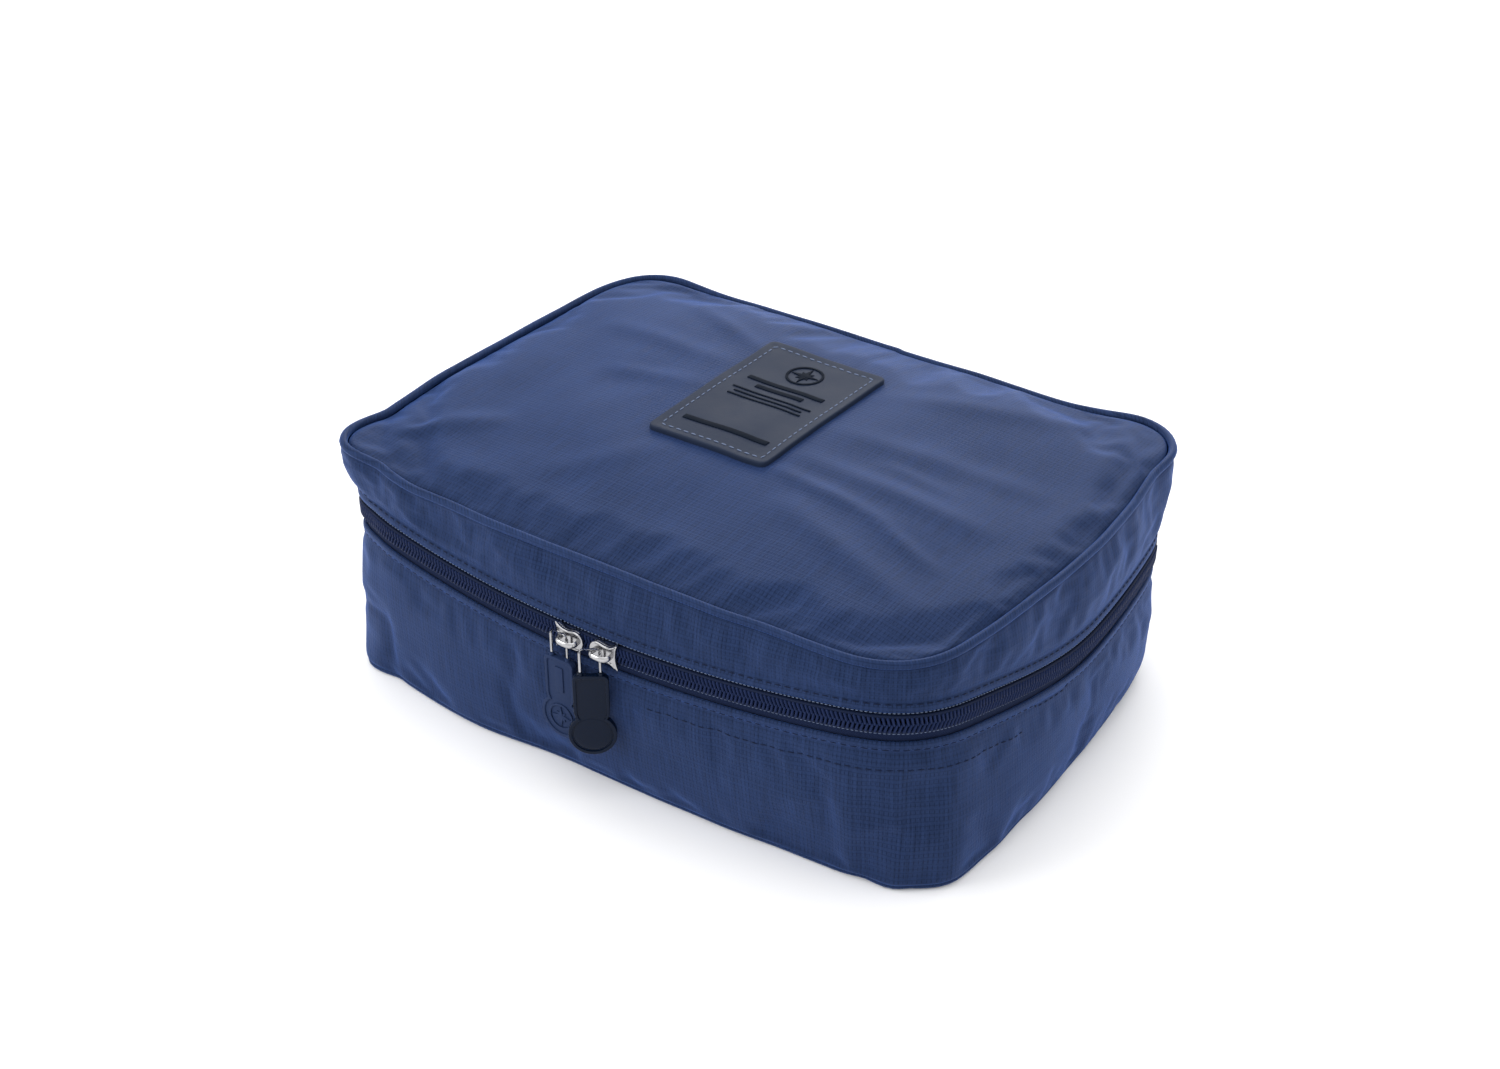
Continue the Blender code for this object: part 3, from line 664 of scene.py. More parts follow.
def ripstopPaint(name="ripstopNylon", share=1.0, source="cloth"):
    # Plain-woven nylon with a grid of thicker threads, streaked a little along the weft.
    colour = scaled(ripstop["colour"], share)
    paint, tree, shader = newPaint(name, colour, ripstop["sockets"])
    where = whereOn(tree, source)
    axes = addNode(tree, "SeparateXYZ", {0: where}).outputs
    wander = sums(tree, "MULTIPLY", cloud(tree, where, 60, 2), 0.5 * mm)
    u, v = sums(tree, "ADD", axes[0], wander), sums(tree, "ADD", axes[1], wander)
    threadU, threadV = ribs(tree, u, ripstop["thread"]), ribs(tree, v, ripstop["thread"])
    gridU, gridV = ribs(tree, u, ripstop["grid"], 9), ribs(tree, v, ripstop["grid"], 9)
    dashes = sums(tree, "MULTIPLY", gridU, ribs(tree, v, ripstop["dashPitch"], 0.8))
    dots = sums(tree, "MAXIMUM", dashes, sums(tree, "MULTIPLY", gridV, threadU))
    weft = cloud(tree, where, 1100, 2, (1, 0.07, 1))
    broad = cloud(tree, where, 22, 3)
    share = sums(tree, "MULTIPLY_ADD", weft, 0.9, sums(tree, "MULTIPLY_ADD", broad, 0.4, -0.12))
    share = sums(tree, "SUBTRACT", share, sums(tree, "MULTIPLY", dots, 0.55))
    tint(tree, shader, share, scaled(colour, 0.45), scaled(colour, 1.75))
    roughness = between(tree, weft, ripstop["roughness"] - 0.1, ripstop["roughness"] + 0.12)
    tree.links.new(roughness, shader.inputs["Roughness"])
    crossing = sums(tree, "MULTIPLY", threadU, threadV)
    height = sums(tree, "MULTIPLY_ADD", dots, 0.7, sums(tree, "MULTIPLY", crossing, 0.3))
    height = sums(tree, "MULTIPLY_ADD", weft, 0.5, height)
    emboss(tree, shader, height, ripstop["depth"], 0.6)
    return paint


tape = {
    "colour": (0.006, 0.012, 0.038),
    "rib": 0.75 * mm,
    "zig": 2.4 * mm,  # how far a rib slants before it turns back
    "depth": 0.12 * mm,
    "sockets": {"Roughness": 0.8, "Sheen Weight": 0.02, "Specular IOR Level": 0.05},
}


def tapePaint():
    # Herringbone tape with a dull, slightly fuzzy face.
    colour = tape["colour"]
    paint, tree, shader = newPaint("zipTape", colour, tape["sockets"])
    where = whereOn(tree, "cloth")
    axes = addNode(tree, "SeparateXYZ", {0: where}).outputs
    rows = ribs(tree, sums(tree, "ADD", axes[0], sums(tree, "PINGPONG", axes[1], tape["zig"])), tape["rib"])
    fuzz = cloud(tree, where, 2600, 2)
    share = sums(tree, "MULTIPLY_ADD", rows, 0.6, sums(tree, "MULTIPLY", fuzz, 0.4))
    tint(tree, shader, share, scaled(colour, 0.55), scaled(colour, 1.45))
    height = sums(tree, "MULTIPLY_ADD", rows, 0.7, sums(tree, "MULTIPLY", fuzz, 0.3))
    emboss(tree, shader, height, tape["depth"], 0.7)
    return paint


def grainPaint(name, colour, roughness, specular, scale, depth, contrast=0.25, wear=None, stretch=(1, 1, 1),
               metallic=0.0, sheen=0.0):
    # A moulded, cast or spun surface: fine grain, broad patches and, if given, a worn tone on the high spots.
    sockets = {"Specular IOR Level": specular, "Metallic": metallic, "Sheen Weight": sheen}
    paint, tree, shader = newPaint(name, colour, {"Roughness": roughness, **sockets})
    where = whereOn(tree, "Object")
    fine, broad = cloud(tree, where, scale, 4, stretch), cloud(tree, where, scale / 14, 3)
    share = sums(tree, "MULTIPLY_ADD", fine, 0.5, sums(tree, "MULTIPLY", broad, 0.5))
    if wear:
        high = addNode(tree, "NewGeometry").outputs["Pointiness"]
        edge = addNode(tree, "MapRange", {"Value": high, "From Min": 0.52, "From Max": 0.6}).outputs[0]
        share = sums(tree, "MULTIPLY_ADD", edge, wear, share)
    tint(tree, shader, share, scaled(colour, 1 - contrast), scaled(colour, 1 + contrast))
    tree.links.new(between(tree, broad, roughness - 0.07, roughness + 0.08), shader.inputs["Roughness"])
    emboss(tree, shader, fine, depth, 0.5)
    return paint


lining = {
    "colour": (0.030, 0.040, 0.066),
    "twill": 0.6 * mm,
    "depth": 0.06 * mm,
    "sockets": {"Sheen Weight": 0.2, "Specular IOR Level": 0.4},
}


def liningPaint():
    # Thin twill with a soft shine.
    paint, tree, shader = newPaint("lining", lining["colour"], lining["sockets"])
    where = whereOn(tree, "cloth")
    axes = addNode(tree, "SeparateXYZ", {0: where}).outputs
    twill = ribs(tree, sums(tree, "ADD", axes[0], axes[1]), lining["twill"])
    broad = cloud(tree, where, 30, 3)
    share = sums(tree, "MULTIPLY_ADD", twill, 0.35, sums(tree, "MULTIPLY", broad, 0.65))
    tint(tree, shader, share, scaled(lining["colour"], 0.65), scaled(lining["colour"], 1.4))
    tree.links.new(between(tree, broad, 0.42, 0.6), shader.inputs["Roughness"])
    emboss(tree, shader, twill, lining["depth"], 0.5)
    return paint


nylon = ripstopPaint()
# A lighter copy of the nylon for the piping: painted light, to lift the shade that falls on the round cord.
pipingClothPaintedLight = ripstopPaint("pipingClothPaintedLight", 1.08)
tapeCloth = tapePaint()
liningCloth = liningPaint()
bindingCloth = ripstopPaint("bindingCloth", 0.8, "Object")
darkThread = grainPaint("sewingThread", (0.004, 0.009, 0.030), 0.6, 0.1, 3500, 0.05 * mm)
paleThread = grainPaint("paleThread", (0.13, 0.17, 0.27), 0.6, 0.15, 3500, 0.05 * mm)
coilPlastic = grainPaint("coilNylon", (0.008, 0.016, 0.055), 0.5, 0.08, 1800, 0.02 * mm)
patchRubber = grainPaint("patchRubber", (0.009, 0.016, 0.036), 0.6, 0.14, 1500, 0.05 * mm, 0.18, 0.5)
markRubber = grainPaint("markRubber", (0.003, 0.006, 0.013), 0.7, 0.04, 1500, 0.03 * mm, 0.15, 0.4)
matteRubber = grainPaint("matteRubber", (0.013, 0.025, 0.068), 0.6, 0.1, 1400, 0.04 * mm, 0.15, 0.5)
glossRubber = grainPaint("glossRubber", (0.002, 0.006, 0.018), 0.14, 0.12, 700, 0.006 * mm, 0.15)
nickel = grainPaint("nickel", (0.36, 0.36, 0.37), 0.16, 0.5, 900, 0.015 * mm, 0.35, 0.5, (1, 1, 0.15),
                    metallic=1.0)
meshCloth = grainPaint("pocketMesh", (0.02, 0.028, 0.055), 0.6, 0.5, 3000, 0.03 * mm, sheen=0.3)

placeCamera()
buildStudio()
print("camera, lamps and materials made")


# Broad swells, finer crinkles and sharp creases of the walls: how far each stands out of the cloth.
folds = {"swell": 1.3 * mm, "crinkle": 0.25 * mm, "crease": 0.2 * mm}


def wallFolds(run, z, seed):
    a, b = run / mm, z / mm
    swell = wobble(a * 0.021, b * 0.045, seed)
    fine = wobble(a * 0.045 + b * 0.03, b * 0.14 - a * 0.01, seed + 5)
    ridge = 1 - abs(wobble(a * 0.016 + b * 0.012, b * 0.075 - a * 0.006, seed + 9)) * 3.2
    return folds["swell"] * swell + folds["crinkle"] * fine + folds["crease"] * max(0, ridge) ** 3


# Hem beside the zip, as (distance from the fold, distance out) in mm, from its turned-in edge to the wall.
hemLine = ((3.2, -0.8), (1.2, -0.75), (0.3, -0.5), (0.0, 0.05), (0.3, 0.55), (1.2, 0.8), (2.5, 0.62),
           (3.2, 0.2), (3.6, 0.1), (4.1, 0.3), (5.4, 0.55))
band = {
    "lidGap": 3.7 * mm,  # from the middle of the zip up to the lid's fold
    "baseGap": 6.0 * mm,
    "pitch": 2.3 * mm,
    "lidRows": 11,
    "baseRows": 22,
    "lidPuff": 0.7 * mm,
    "basePuff": 1.2 * mm,
    "lidMost": 2.0 * mm,  # most that the air pressure may move the cloth
    "baseMost": 0.9 * mm,
    "topGap": 0.7 * mm,  # from the lid's seam down to the band's edge
    "floor": 1.1 * mm,
    "pullReach": 92 * mm,  # how far from the middle of the front the pulls pass
    "pullRoom": 0.6,  # share of the swell left out there
    "pucker": 0.12 * mm,
    "foldWave": 0.35 * mm,
    "cloth": 0.35 * mm,
    "lap": 1.5 * mm,  # how far the ends run under the back panel
    "tuck": 0.5 * mm,  # how far they sink there
}


def bandPlace(owner, side, seed):
    gap, puff, hemEnd = band[owner + "Gap"], band[owner + "Puff"], hemLine[-1][0] * mm

    def place(run, level):
        # A level is (distance from the fold in the hem, share of the plain wall, distance out).
        drop, share, out = level
        zipZ = zipHeight(run)
        far = seamHeight(run) - band["topGap"] if side > 0 else band["floor"]
        start = zipZ + side * (gap + hemEnd)
        z = zipZ + side * (gap + drop * mm) if share == 0 else start + (far - start) * share
        swell = math.sin(math.pi * share) ** 0.7 if 0 < share < 1 else 0
        swell *= 1 - band["pullRoom"] * smooth((band["pullReach"] - abs(run)) / (14 * mm)) * (side < 0)
        pucker = band["pucker"] * math.sin(run / (1.7 * mm)) * wobble(run * 60, 0, seed)
        reach = out * mm + swell * (puff + wallFolds(run, z, seed))
        reach += pucker if 2 < drop < 5 and out > 0 else 0
        under = smooth((abs(run) - (zipEnd - 3 * mm)) / (2.4 * mm))
        wave = band["foldWave"] * wobble(run * 28, seed, 2.0) * (1 - share)
        return wallPoint(run, z + side * wave, reach * (1 - under) - band["tuck"] * under)

    return place


def makeBand(owner, side, seed, *nodes):
    rows, hemEnd = band[owner + "Rows"], hemLine[-1][0]
    levels = [(drop, 0, out) for drop, out in hemLine]
    levels += [(hemEnd, i / rows, 0.55) for i in range(1, rows)]
    levels += [(hemEnd, 0.975, 0.35), (hemEnd, 1.0, -0.25)]
    levels.sort(key=lambda level: (level[1] > 0, level[1]))
    end = zipEnd + band["lap"]
    bm, cells = stripGrid(spread(-end, end, band["pitch"]), levels, bandPlace(owner, side, seed))
    turnFaces(bm)
    lastColumn, lastRow = max(cells.values())
    hem = len(hemLine)
    held = [k for k, (i, j) in cells.items() if not (1 < i < lastColumn - 1 and hem <= j < lastRow - 1)]
    piece = finishPiece(owner + "SideBand", bm, nylon)
    inflate(piece, held, band[owner + "Most"])
    fit(thicken(piece, band["cloth"]), owner, "outer_fabric", *nodes)
    return piece


lidBand = makeBand("lid", 1, 3.1, "lid_band", "lid_wall_padding")
baseBand = makeBand("base", -1, 11.7, "base_band", "base_padding")
print("side bands made")

backPanel = {
    "start": zipEnd - 2.2 * mm,
    "end": 2 * halfRun - zipEnd + 2.2 * mm,
    "rows": 34,
    "low": 1.1 * mm,
    "topGap": 0.7 * mm,
    "puff": 1.1 * mm,
    "mostSwell": 1.6 * mm,
    "groove": 0.9 * mm,
    "fold": 0.75 * mm,  # how far the turned-in side edges stand out
    "stitchLine": 3.4 * mm,  # of the side stitching, from the edge
    "bend": (43.5 * mm, 51.5 * mm),  # heights about the hinge; read, but nothing bends the cloth with the lid
    "edges": (0, 0.25, 0.6, 1.2, 2.2, 2.9, 3.4, 3.9, 4.6, 6.5),  # columns near each side edge, in mm
}


def backPlace(run, level):
    edge, hingeZ = min(run - backPanel["start"], backPanel["end"] - run), caseShape["hingeZ"]
    z = backPanel["low"] + (seamHeight(run) - backPanel["low"] - backPanel["topGap"]) * level
    hinge = bell(z - hingeZ, 2.6 * mm)
    share = z / hingeZ if z < hingeZ else (z - hingeZ) / (seamZ - hingeZ)
    swell = math.sin(math.pi * min(1, max(0, share))) ** 0.8 * smooth(edge / (9 * mm))
    stitched = 0.45 * mm * bell(edge - backPanel["stitchLine"], 0.5 * mm)
    fold = backPanel["fold"] * smooth(edge / (0.7 * mm)) - stitched
    tuck = 0.9 * mm * (smooth((level - 0.965) / 0.035) + smooth((0.03 - level) / 0.03))
    out = fold + swell * (backPanel["puff"] + wallFolds(run, z, 23.3)) - backPanel["groove"] * hinge - tuck
    return wallPoint(run, z, out)


def makeBack():
    start, end, rows, low = (backPanel[key] for key in ("start", "end", "rows", "low"))
    edges = [e * mm for e in backPanel["edges"]]
    runs = [start + e for e in edges] + spread(start + 9 * mm, end - 9 * mm, 2.4 * mm)
    runs += [end - e for e in reversed(edges)]
    bm, cells = stripGrid(runs, [i / rows for i in range(rows + 1)], backPlace)
    turnFaces(bm)
    lastColumn, lastRow = max(cells.values())
    hingeRow = round(rows * (caseShape["hingeZ"] - low) / (seamZ - low - backPanel["topGap"]))
    held = []
    for k, (i, j) in cells.items():
        if not 10 <= i <= lastColumn - 10 or not 2 <= j <= lastRow - 2 or abs(j - hingeRow) < 2:
            held.append(k)
    piece = finishPiece("backPanel", bm, nylon)
    inflate(piece, held, backPanel["mostSwell"])
    thicken(piece, band["cloth"])
    low, high = backPanel["bend"]
    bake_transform(piece)
    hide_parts("back_panel_lower", "back_panel_upper")
    return piece


backCloth = makeBack()
print("back panel made")

# The lid: its pillow, and soft creases as (start, end, width, height) in mm from the middle of the case.
lid = {
    "crown": 5.4 * mm,
    "power": 2.2,
    "squareness": 5,
    "cloth": 0.35 * mm,
    "edge": -1.5 * mm,
    "mostSwell": 2.5 * mm,
    "waves": 1.0 * mm,
    "ripples": 0.35 * mm,
    "groove": 0.9 * mm,  # beside the piping
    "creases": (
        ((-28, 44), (-70, 62), 3.5, 0.9), ((-30, 30), (-88, 36), 4.5, 0.8), ((-30, 14), (-70, 8), 4.0, 0.7),
        ((12, -16), (64, -24), 2.6, 1.1), ((14, -6), (92, -10), 4.5, 1.1), ((15, 12), (98, 20), 5.0, 0.8),
        ((24, -30), (96, -56), 5.0, 1.1), ((-16, -20), (-44, -60), 6.0, 0.7), ((15, 40), (84, 64), 5.0, 0.7),
        ((52, -22), (88, -36), 2.4, 0.9), ((-100, -62), (-70, -34), 5.0, 1.3), ((40, 4), (70, 2), 2.2, 0.6),
    ),
}


def creaseHeight(x, y):
    total, p = 0.0, Vector((x, y))
    for start, end, width, height in lid["creases"]:
        a, b = Vector(start) * mm, Vector(end) * mm
        t = (p - a).dot(b - a) / (b - a).length_squared
        if 0 < t < 1:
            away = (p - a.lerp(b, t)).length / (width * mm)
            total += height * mm * math.exp(-away * away) * math.sin(math.pi * t) ** 0.8
    return total


def crownHeight(x, y, rim):
    halfX, halfY = caseShape["halfWidth"] + caseShape["sideBulge"] * 0.4, caseShape["halfDepth"] + 2 * mm
    bodyY, square = y - centreY, lid["squareness"]
    reach = (abs(x) / halfX) ** square + (abs(bodyY) / halfY) ** square
    crown = lid["crown"] * (1 - min(1, reach ** (1 / square)) ** lid["power"])
    swell = lid["waves"] * wobble(x * 22, y * 30, 4.4) + lid["ripples"] * wobble(x * 70, y * 45, 8.8)
    away = smooth(rim / 0.12)  # 0 at the seam, 1 on the open cloth
    groove = lid["groove"] * bell(rim, 0.012)
    return seamZ + 0.3 * mm + crown + away * (creaseHeight(x, bodyY) + swell) - groove


def makeLid():
    bm = panelGrid(lid["edge"], crownHeight, lifted=True)
    held = [v.index for v in bm.verts if any(len(e.link_faces) == 1 for e in v.link_edges)]
    piece = finishPiece("lidPanel", bm, nylon)
    inflate(piece, held, lid["mostSwell"])
    fit(thicken(piece, lid["cloth"]), "lid", "outer_fabric", "lid_panel", "lid_padding")
    return piece


lidPanel = makeLid()
lidTop = surfaceOf(lidPanel)
print("lid panel made")

# Corded edges: thickness, distance out of the outline, and how far each sways.
piping = {
    "lid": {"radius": 1.35 * mm, "out": 0.1 * mm, "sway": 0.35 * mm},
    "base": {"radius": 1.0 * mm, "out": -0.6 * mm, "sway": 0.3 * mm},
    "baseZ": 1.25 * mm,
    "backSink": 1.5 * mm,  # at the back the lid's own edge hides the cord
}


def makePiping(owner, height):
    # A tube of the case's cloth round its edge.
    made = piping[owner]
    points = []
    for run in spread(-halfRun, halfRun, 2.2 * mm)[:-1]:
        sway = made["sway"] * wobble(run * 55, made["radius"] * 900, 6.0)
        sink = piping["backSink"] * smooth((abs(run) - 262 * mm) / (30 * mm)) if owner == "lid" else 0
        point = wallPoint(run, min(height(run), seamZ), made["out"] + sway)
        points.append(Vector((point.x, point.y, height(run) - sink)))
    piece = tube(owner + "Piping", points, made["radius"], pipingClothPaintedLight, cyclic=True, sides=3)
    uv = piece.data.uv_layers.new(name="cloth")
    for loop in piece.data.loops:
        p = piece.data.vertices[loop.vertex_index].co
        uv.data[loop.index].uv = (p.x + p.y, p.z)
    fit(piece, owner, "piping_fabric", owner + "_piping")


makePiping("lid", seamHeight)
makePiping("base", lambda run: piping["baseZ"])


def makeUnderside():
    def under(x, y, rim):
        return 0.45 * mm + 0.25 * mm * wobble(x * 30, y * 30, 1.5) * smooth(rim / 0.1)

    bm = panelGrid(-1.6 * mm, under, (60, 44))
    bmesh.ops.reverse_faces(bm, faces=bm.faces)
    fit(thicken(finishPiece("undersideCloth", bm, nylon), -0.3 * mm, 0), "base", "outer_fabric", "base_panel")


makeUnderside()
print("piping and underside made")

# Rows of stitches on the finished cloth: the face to lie on, distance from the zip, start, end and body.
lidBandFace, baseBandFace, backFace = surfaceOf(lidBand), surfaceOf(baseBand), surfaceOf(backCloth)
sewEnd = zipEnd - 3 * mm
hemStitchGap = 3.5 * mm
zipRows = (
    ("lidHemStitching", lidBandFace, band["lidGap"] + hemStitchGap, -sewEnd, sewEnd, "lid"),
    ("baseHemStitching", baseBandFace, -band["baseGap"] - hemStitchGap, -sewEnd, sewEnd, "base"),
    ("baseFacingStitching", baseBandFace, -15.5 * mm, 20 * mm, 150 * mm, "base"),
)
sideRows = (("lower", 6 * mm, 42.5 * mm, "base"), ("upper", 52.5 * mm, 74 * mm, "lid"))
rowPitch, rowOut = 1.5 * mm, 2 * mm  # of the points that are laid on the cloth

for name, face, offset, start, end, body in zipRows:
    points = [wallPoint(run, zipHeight(run) + offset, rowOut) for run in spread(start, end, rowPitch)]
    sewRow(name, onCloth(face, points), topstitch, darkThread, body)
for side, run in (
    ("Right", backPanel["start"] + backPanel["stitchLine"]),
    ("Left", backPanel["end"] - backPanel["stitchLine"]),
):
    for part, low, high, body in sideRows:
        points = [wallPoint(run, z, rowOut) for z in spread(low, high, rowPitch)]
        sewRow(part + "SideStitching" + side, onCloth(backFace, points), topstitch, darkThread, body)

# Zip: two tapes, each with its row of coil loops, its cord and its sewing.
zipParts = {
    "tapeRows": (0.5, 1.5, 3, 4.5, 6.5, 9, 12),  # from the middle of the zip, in mm
    "tapeOut": -0.35 * mm,
    "tooth": (0.78 * mm, 2.9 * mm, 1.5 * mm),  # along the zip, across it, out of the tape
    "toothMiddle": 1.15 * mm,
    "toothPitch": 1.3 * mm,
    "toothLean": 16,  # degrees
    "toothOut": 0.45 * mm,
    "cord": (2.55 * mm, 0.35 * mm, 0.5 * mm),  # from the middle, out of the outline, radius
    "seam": 3.45 * mm,
}


def toothShape():
    bm = bmesh.new()
    bmesh.ops.create_cube(bm, size=1)
    bmesh.ops.scale(bm, vec=zipParts["tooth"], verts=bm.verts)
    softenEdges(bm, bm.edges, 0.26 * mm, 1)
    return smallShape("tooth", bm)


def makeZipHalf(owner, side):
    def beside(run, offset, out):
        return wallPoint(run, zipHeight(run) + side * offset, out)

    def tapePlace(run, level):
        ripple = 0.1 * mm * wobble(run * 90, level * 200, side)
        sink = -0.45 * mm * smooth((level - 4 * mm) / (4 * mm))
        return beside(run, level, zipParts["tapeOut"] + sink + ripple)

    rows = [row * mm for row in zipParts["tapeRows"]][::side]
    runs = spread(-zipEnd, zipEnd, 2.4 * mm)
    cloth = clothStrip(owner + "ZipTape", runs, rows, tapePlace, tapeCloth, 0.45 * mm)
    fit(cloth, owner, "zip_tape", owner + "_zip_tape")

    lean = Matrix.Rotation(math.radians(zipParts["toothLean"] * side), 4, "Z")
    middle, out, pitch = zipParts["toothMiddle"], zipParts["toothOut"], zipParts["toothPitch"]
    places = []
    for i in range(int(2 * (zipEnd - 4 * mm) / pitch)):
        run = -zipEnd + 4 * mm + (i + (0.5 if side > 0 else 0)) * pitch
        here, ahead = beside(run, middle, out), beside(run + 0.5 * mm, middle, out)
        places.append(frameAt(here, ahead - here, Vector((*onOutline(run)[2:4], 0))) @ lean)
    coil = copiesOf(owner + "ZipCoil", toothShape(), places, coilPlastic)
    fit(coil, owner, "zip_coil", owner + "_zip_coil")

    offset, out, radius = zipParts["cord"]
    cordRuns = spread(-sewEnd, sewEnd, 2.4 * mm)
    cord = tube(owner + "CoilCord", [beside(run, offset, out) for run in cordRuns], radius, darkThread)
    fit(cord, owner, "zip_coil")
    seam = []
    for run in spread(-sewEnd, sewEnd, coilStitch["pitch"]):
        seam.append((beside(run, zipParts["seam"], 0.02 * mm), Vector((*onOutline(run)[2:4], 0))))
    sewRow(owner + "CoilStitching", seam, coilStitch, paleThread, owner)


makeZipHalf("base", -1)
makeZipHalf("lid", 1)

endTab = {
    "from": zipEnd + 1.0 * mm,
    "width": 11 * mm,
    "low": 38.6 * mm,
    "high": 46.8 * mm,
    "thickness": 0.9 * mm,
    "stitchInset": 1.4 * mm,
}


def makeEndTab(name, node, side):
    # A folded square of tape sewn over the zip's end.
    runs = spread(endTab["from"], endTab["from"] + endTab["width"], 1 * mm)
    heights = spread(endTab["low"], endTab["high"], 1 * mm)

    def tabPlace(run, z):
        edge = min(run - runs[0], runs[-1] - run, z - heights[0], heights[-1] - z)
        return wallPoint(side * run, z, 0.75 * mm + 0.6 * mm * smooth(edge / (0.9 * mm) + 0.25))

    piece = clothStrip(name, runs, heights, tabPlace, tapeCloth, endTab["thickness"])
    fit(piece, "base", "zip_tape", node)
    inset = endTab["stitchInset"]
    left, right, low, high = runs[0] + inset, runs[-1] - inset, heights[0] + inset, heights[-1] - inset
    loop = [(left, low), (right, low), (right, high), (left, high), (left, low)]
    points = []
    for (runA, zA), (runB, zB) in zip(loop, loop[1:]):
        for t in np.linspace(0, 1, 9):
            points.append(wallPoint(side * (runA + (runB - runA) * t), zA + (zB - zA) * t, 3 * mm))
    sewRow(name + "Stitching", onCloth(surfaceOf(piece), points), topstitch, paleThread, "base")


makeEndTab("zipEndTabRight", "zip_end_tab_right", 1)
makeEndTab("zipEndTabLeft", "zip_end_tab_left", -1)
print("zip made")

# The rubber label on the lid, with its stitched border, star mark and plain bars.
patch = {
    "size": (45 * mm, 70 * mm),
    "centre": (-7.3 * mm, 16 * mm + centreY),
    "thickness": 1.7 * mm,
    "corner": 2.2 * mm,
    "stitchInset": 3.2 * mm,
    "markCentre": (0, 20.5 * mm),
    "markRadius": 6.4 * mm,
    # middle of each bar down the label, its length and width in mm
    "bars": ((9.4, 29, 2.1), (5.6, 18, 2.1), (1.2, 30, 0.75), (-1.1, 26, 0.75), (-3.4, 28, 0.75),
             (-24, 32, 2.3)),
    "relief": 0.4 * mm,
    "rim": 1.4 * mm,  # width of the raised rim
    "rimRise": 0.3 * mm,
    "groove": 0.22 * mm,  # under the stitches
}


def layOnLid(bm, tree, lift, shift):
    # Sets a flat shape down on a curved face: z in the shape becomes height above the face.
    for v in bm.verts:
        x, y = v.co.x + shift[0], v.co.y + shift[1]
        v.co = (x, y, topOf(tree, x, y) + v.co.z + lift)


def makePatch():
    bm = bmesh.new()
    bmesh.ops.create_grid(bm, x_segments=24, y_segments=36, size=0.5)
    width, length = patch["size"]
    bmesh.ops.scale(bm, vec=(width, length, 1), verts=bm.verts)
    corner = patch["corner"]
    for v in bm.verts:
        inX, inY = abs(v.co.x) - (width / 2 - corner), abs(v.co.y) - (length / 2 - corner)
        if inX > 0 and inY > 0:
            pull = max(inX, inY) / math.hypot(inX, inY)
            v.co.x = math.copysign(width / 2 - corner + inX * pull, v.co.x)
            v.co.y = math.copysign(length / 2 - corner + inY * pull, v.co.y)
    sheet = bm.faces[:]
    walls = bmesh.ops.extrude_face_region(bm, geom=sheet)["geom"]
    raised = [g for g in walls if isinstance(g, bmesh.types.BMVert)]
    bmesh.ops.translate(bm, vec=(0, 0, patch["thickness"]), verts=raised)
    bmesh.ops.recalc_face_normals(bm, faces=bm.faces)
    upper = [e for e in bm.edges if min(v.co.z for v in e.verts) > mm and len(e.link_faces) == 2]
    softenEdges(bm, [e for e in upper if e.calc_face_angle(0) > 1], 0.55 * mm, 3)
    # The middle of the label is a shade lower than its rim.
    for v in bm.verts:
        edge = min(width / 2 - abs(v.co.x), length / 2 - abs(v.co.y))
        if v.co.z > mm:
            v.co.z -= patch["rimRise"] * smooth((edge - patch["rim"]) / (0.5 * mm))
            v.co.z -= patch["groove"] * bell(edge - patch["stitchInset"], 0.5 * mm)
    layOnLid(bm, lidTop, 0.0, patch["centre"])
    piece = finishPiece("labelPatch", bm, patchRubber)
    piece.data.set_sharp_from_angle(angle=math.radians(50))
    return surfaceOf(fit(piece, "lid", "label", "label_patch"))


patchTop = makePatch()


def makePatchStitching():
    width, length = patch["size"]
    r = 1.2 * mm
    x0, y0 = width / 2 - patch["stitchInset"] - r, length / 2 - patch["stitchInset"] - r
    line = []
    for x, y, start in ((x0, y0, 0), (-x0, y0, 90), (-x0, -y0, 180), (x0, -y0, 270)):
        line += arcLine((x, y), r, start, start + 90, 4)
    line.append(line[0])
    points = []
    for (ax, ay), (bx, by) in zip(line, line[1:]):
        count = max(1, round(math.hypot(bx - ax, by - ay) / mm))
        points += [(ax + (bx - ax) * i / count, ay + (by - ay) * i / count) for i in range(count)]
    cx, cy = patch["centre"]
    route = []
    for x, y in points + points[:1]:
        top = topOf(patchTop, x + cx, y + cy) + 0.05 * mm
        route.append((Vector((x + cx, y + cy, top)), Vector((0, 0, 1))))
    sewRow("labelStitching", route, labelStitch, paleThread, "lid")


def starOutline(radius, waist, points=4):
    line = []
    for i in range(points * 2):
        reach = radius if i % 2 == 0 else waist
        angle = math.pi * i / points
        line.append((reach * math.sin(angle), reach * math.cos(angle)))
    return line


def circleLine(radius, steps=48):
    return arcLine((0, 0), radius, 0, 360, steps + 1)[:-1]


def makeMark(name, radius, high):
    # A compass star in a ring.
    ringLines = [circleLine(radius), circleLine(radius * 0.86)]
    ring = flatShape(name + "Ring", ringLines, 0, high, markRubber, 0.1 * mm)
    starLine, smallLine = starOutline(radius * 0.8, radius * 0.2), starOutline(radius * 0.5, radius * 0.24)
    star = flatShape(name + "Star", [starLine], 0, high, markRubber, 0.08 * mm)
    small = flatShape(name + "Points", [smallLine], 0, high * 0.7, markRubber, 0.06 * mm)
    small.data.transform(Matrix.Rotation(math.pi / 4, 4, "Z"))
    return joinPieces(name, [ring, star, small])


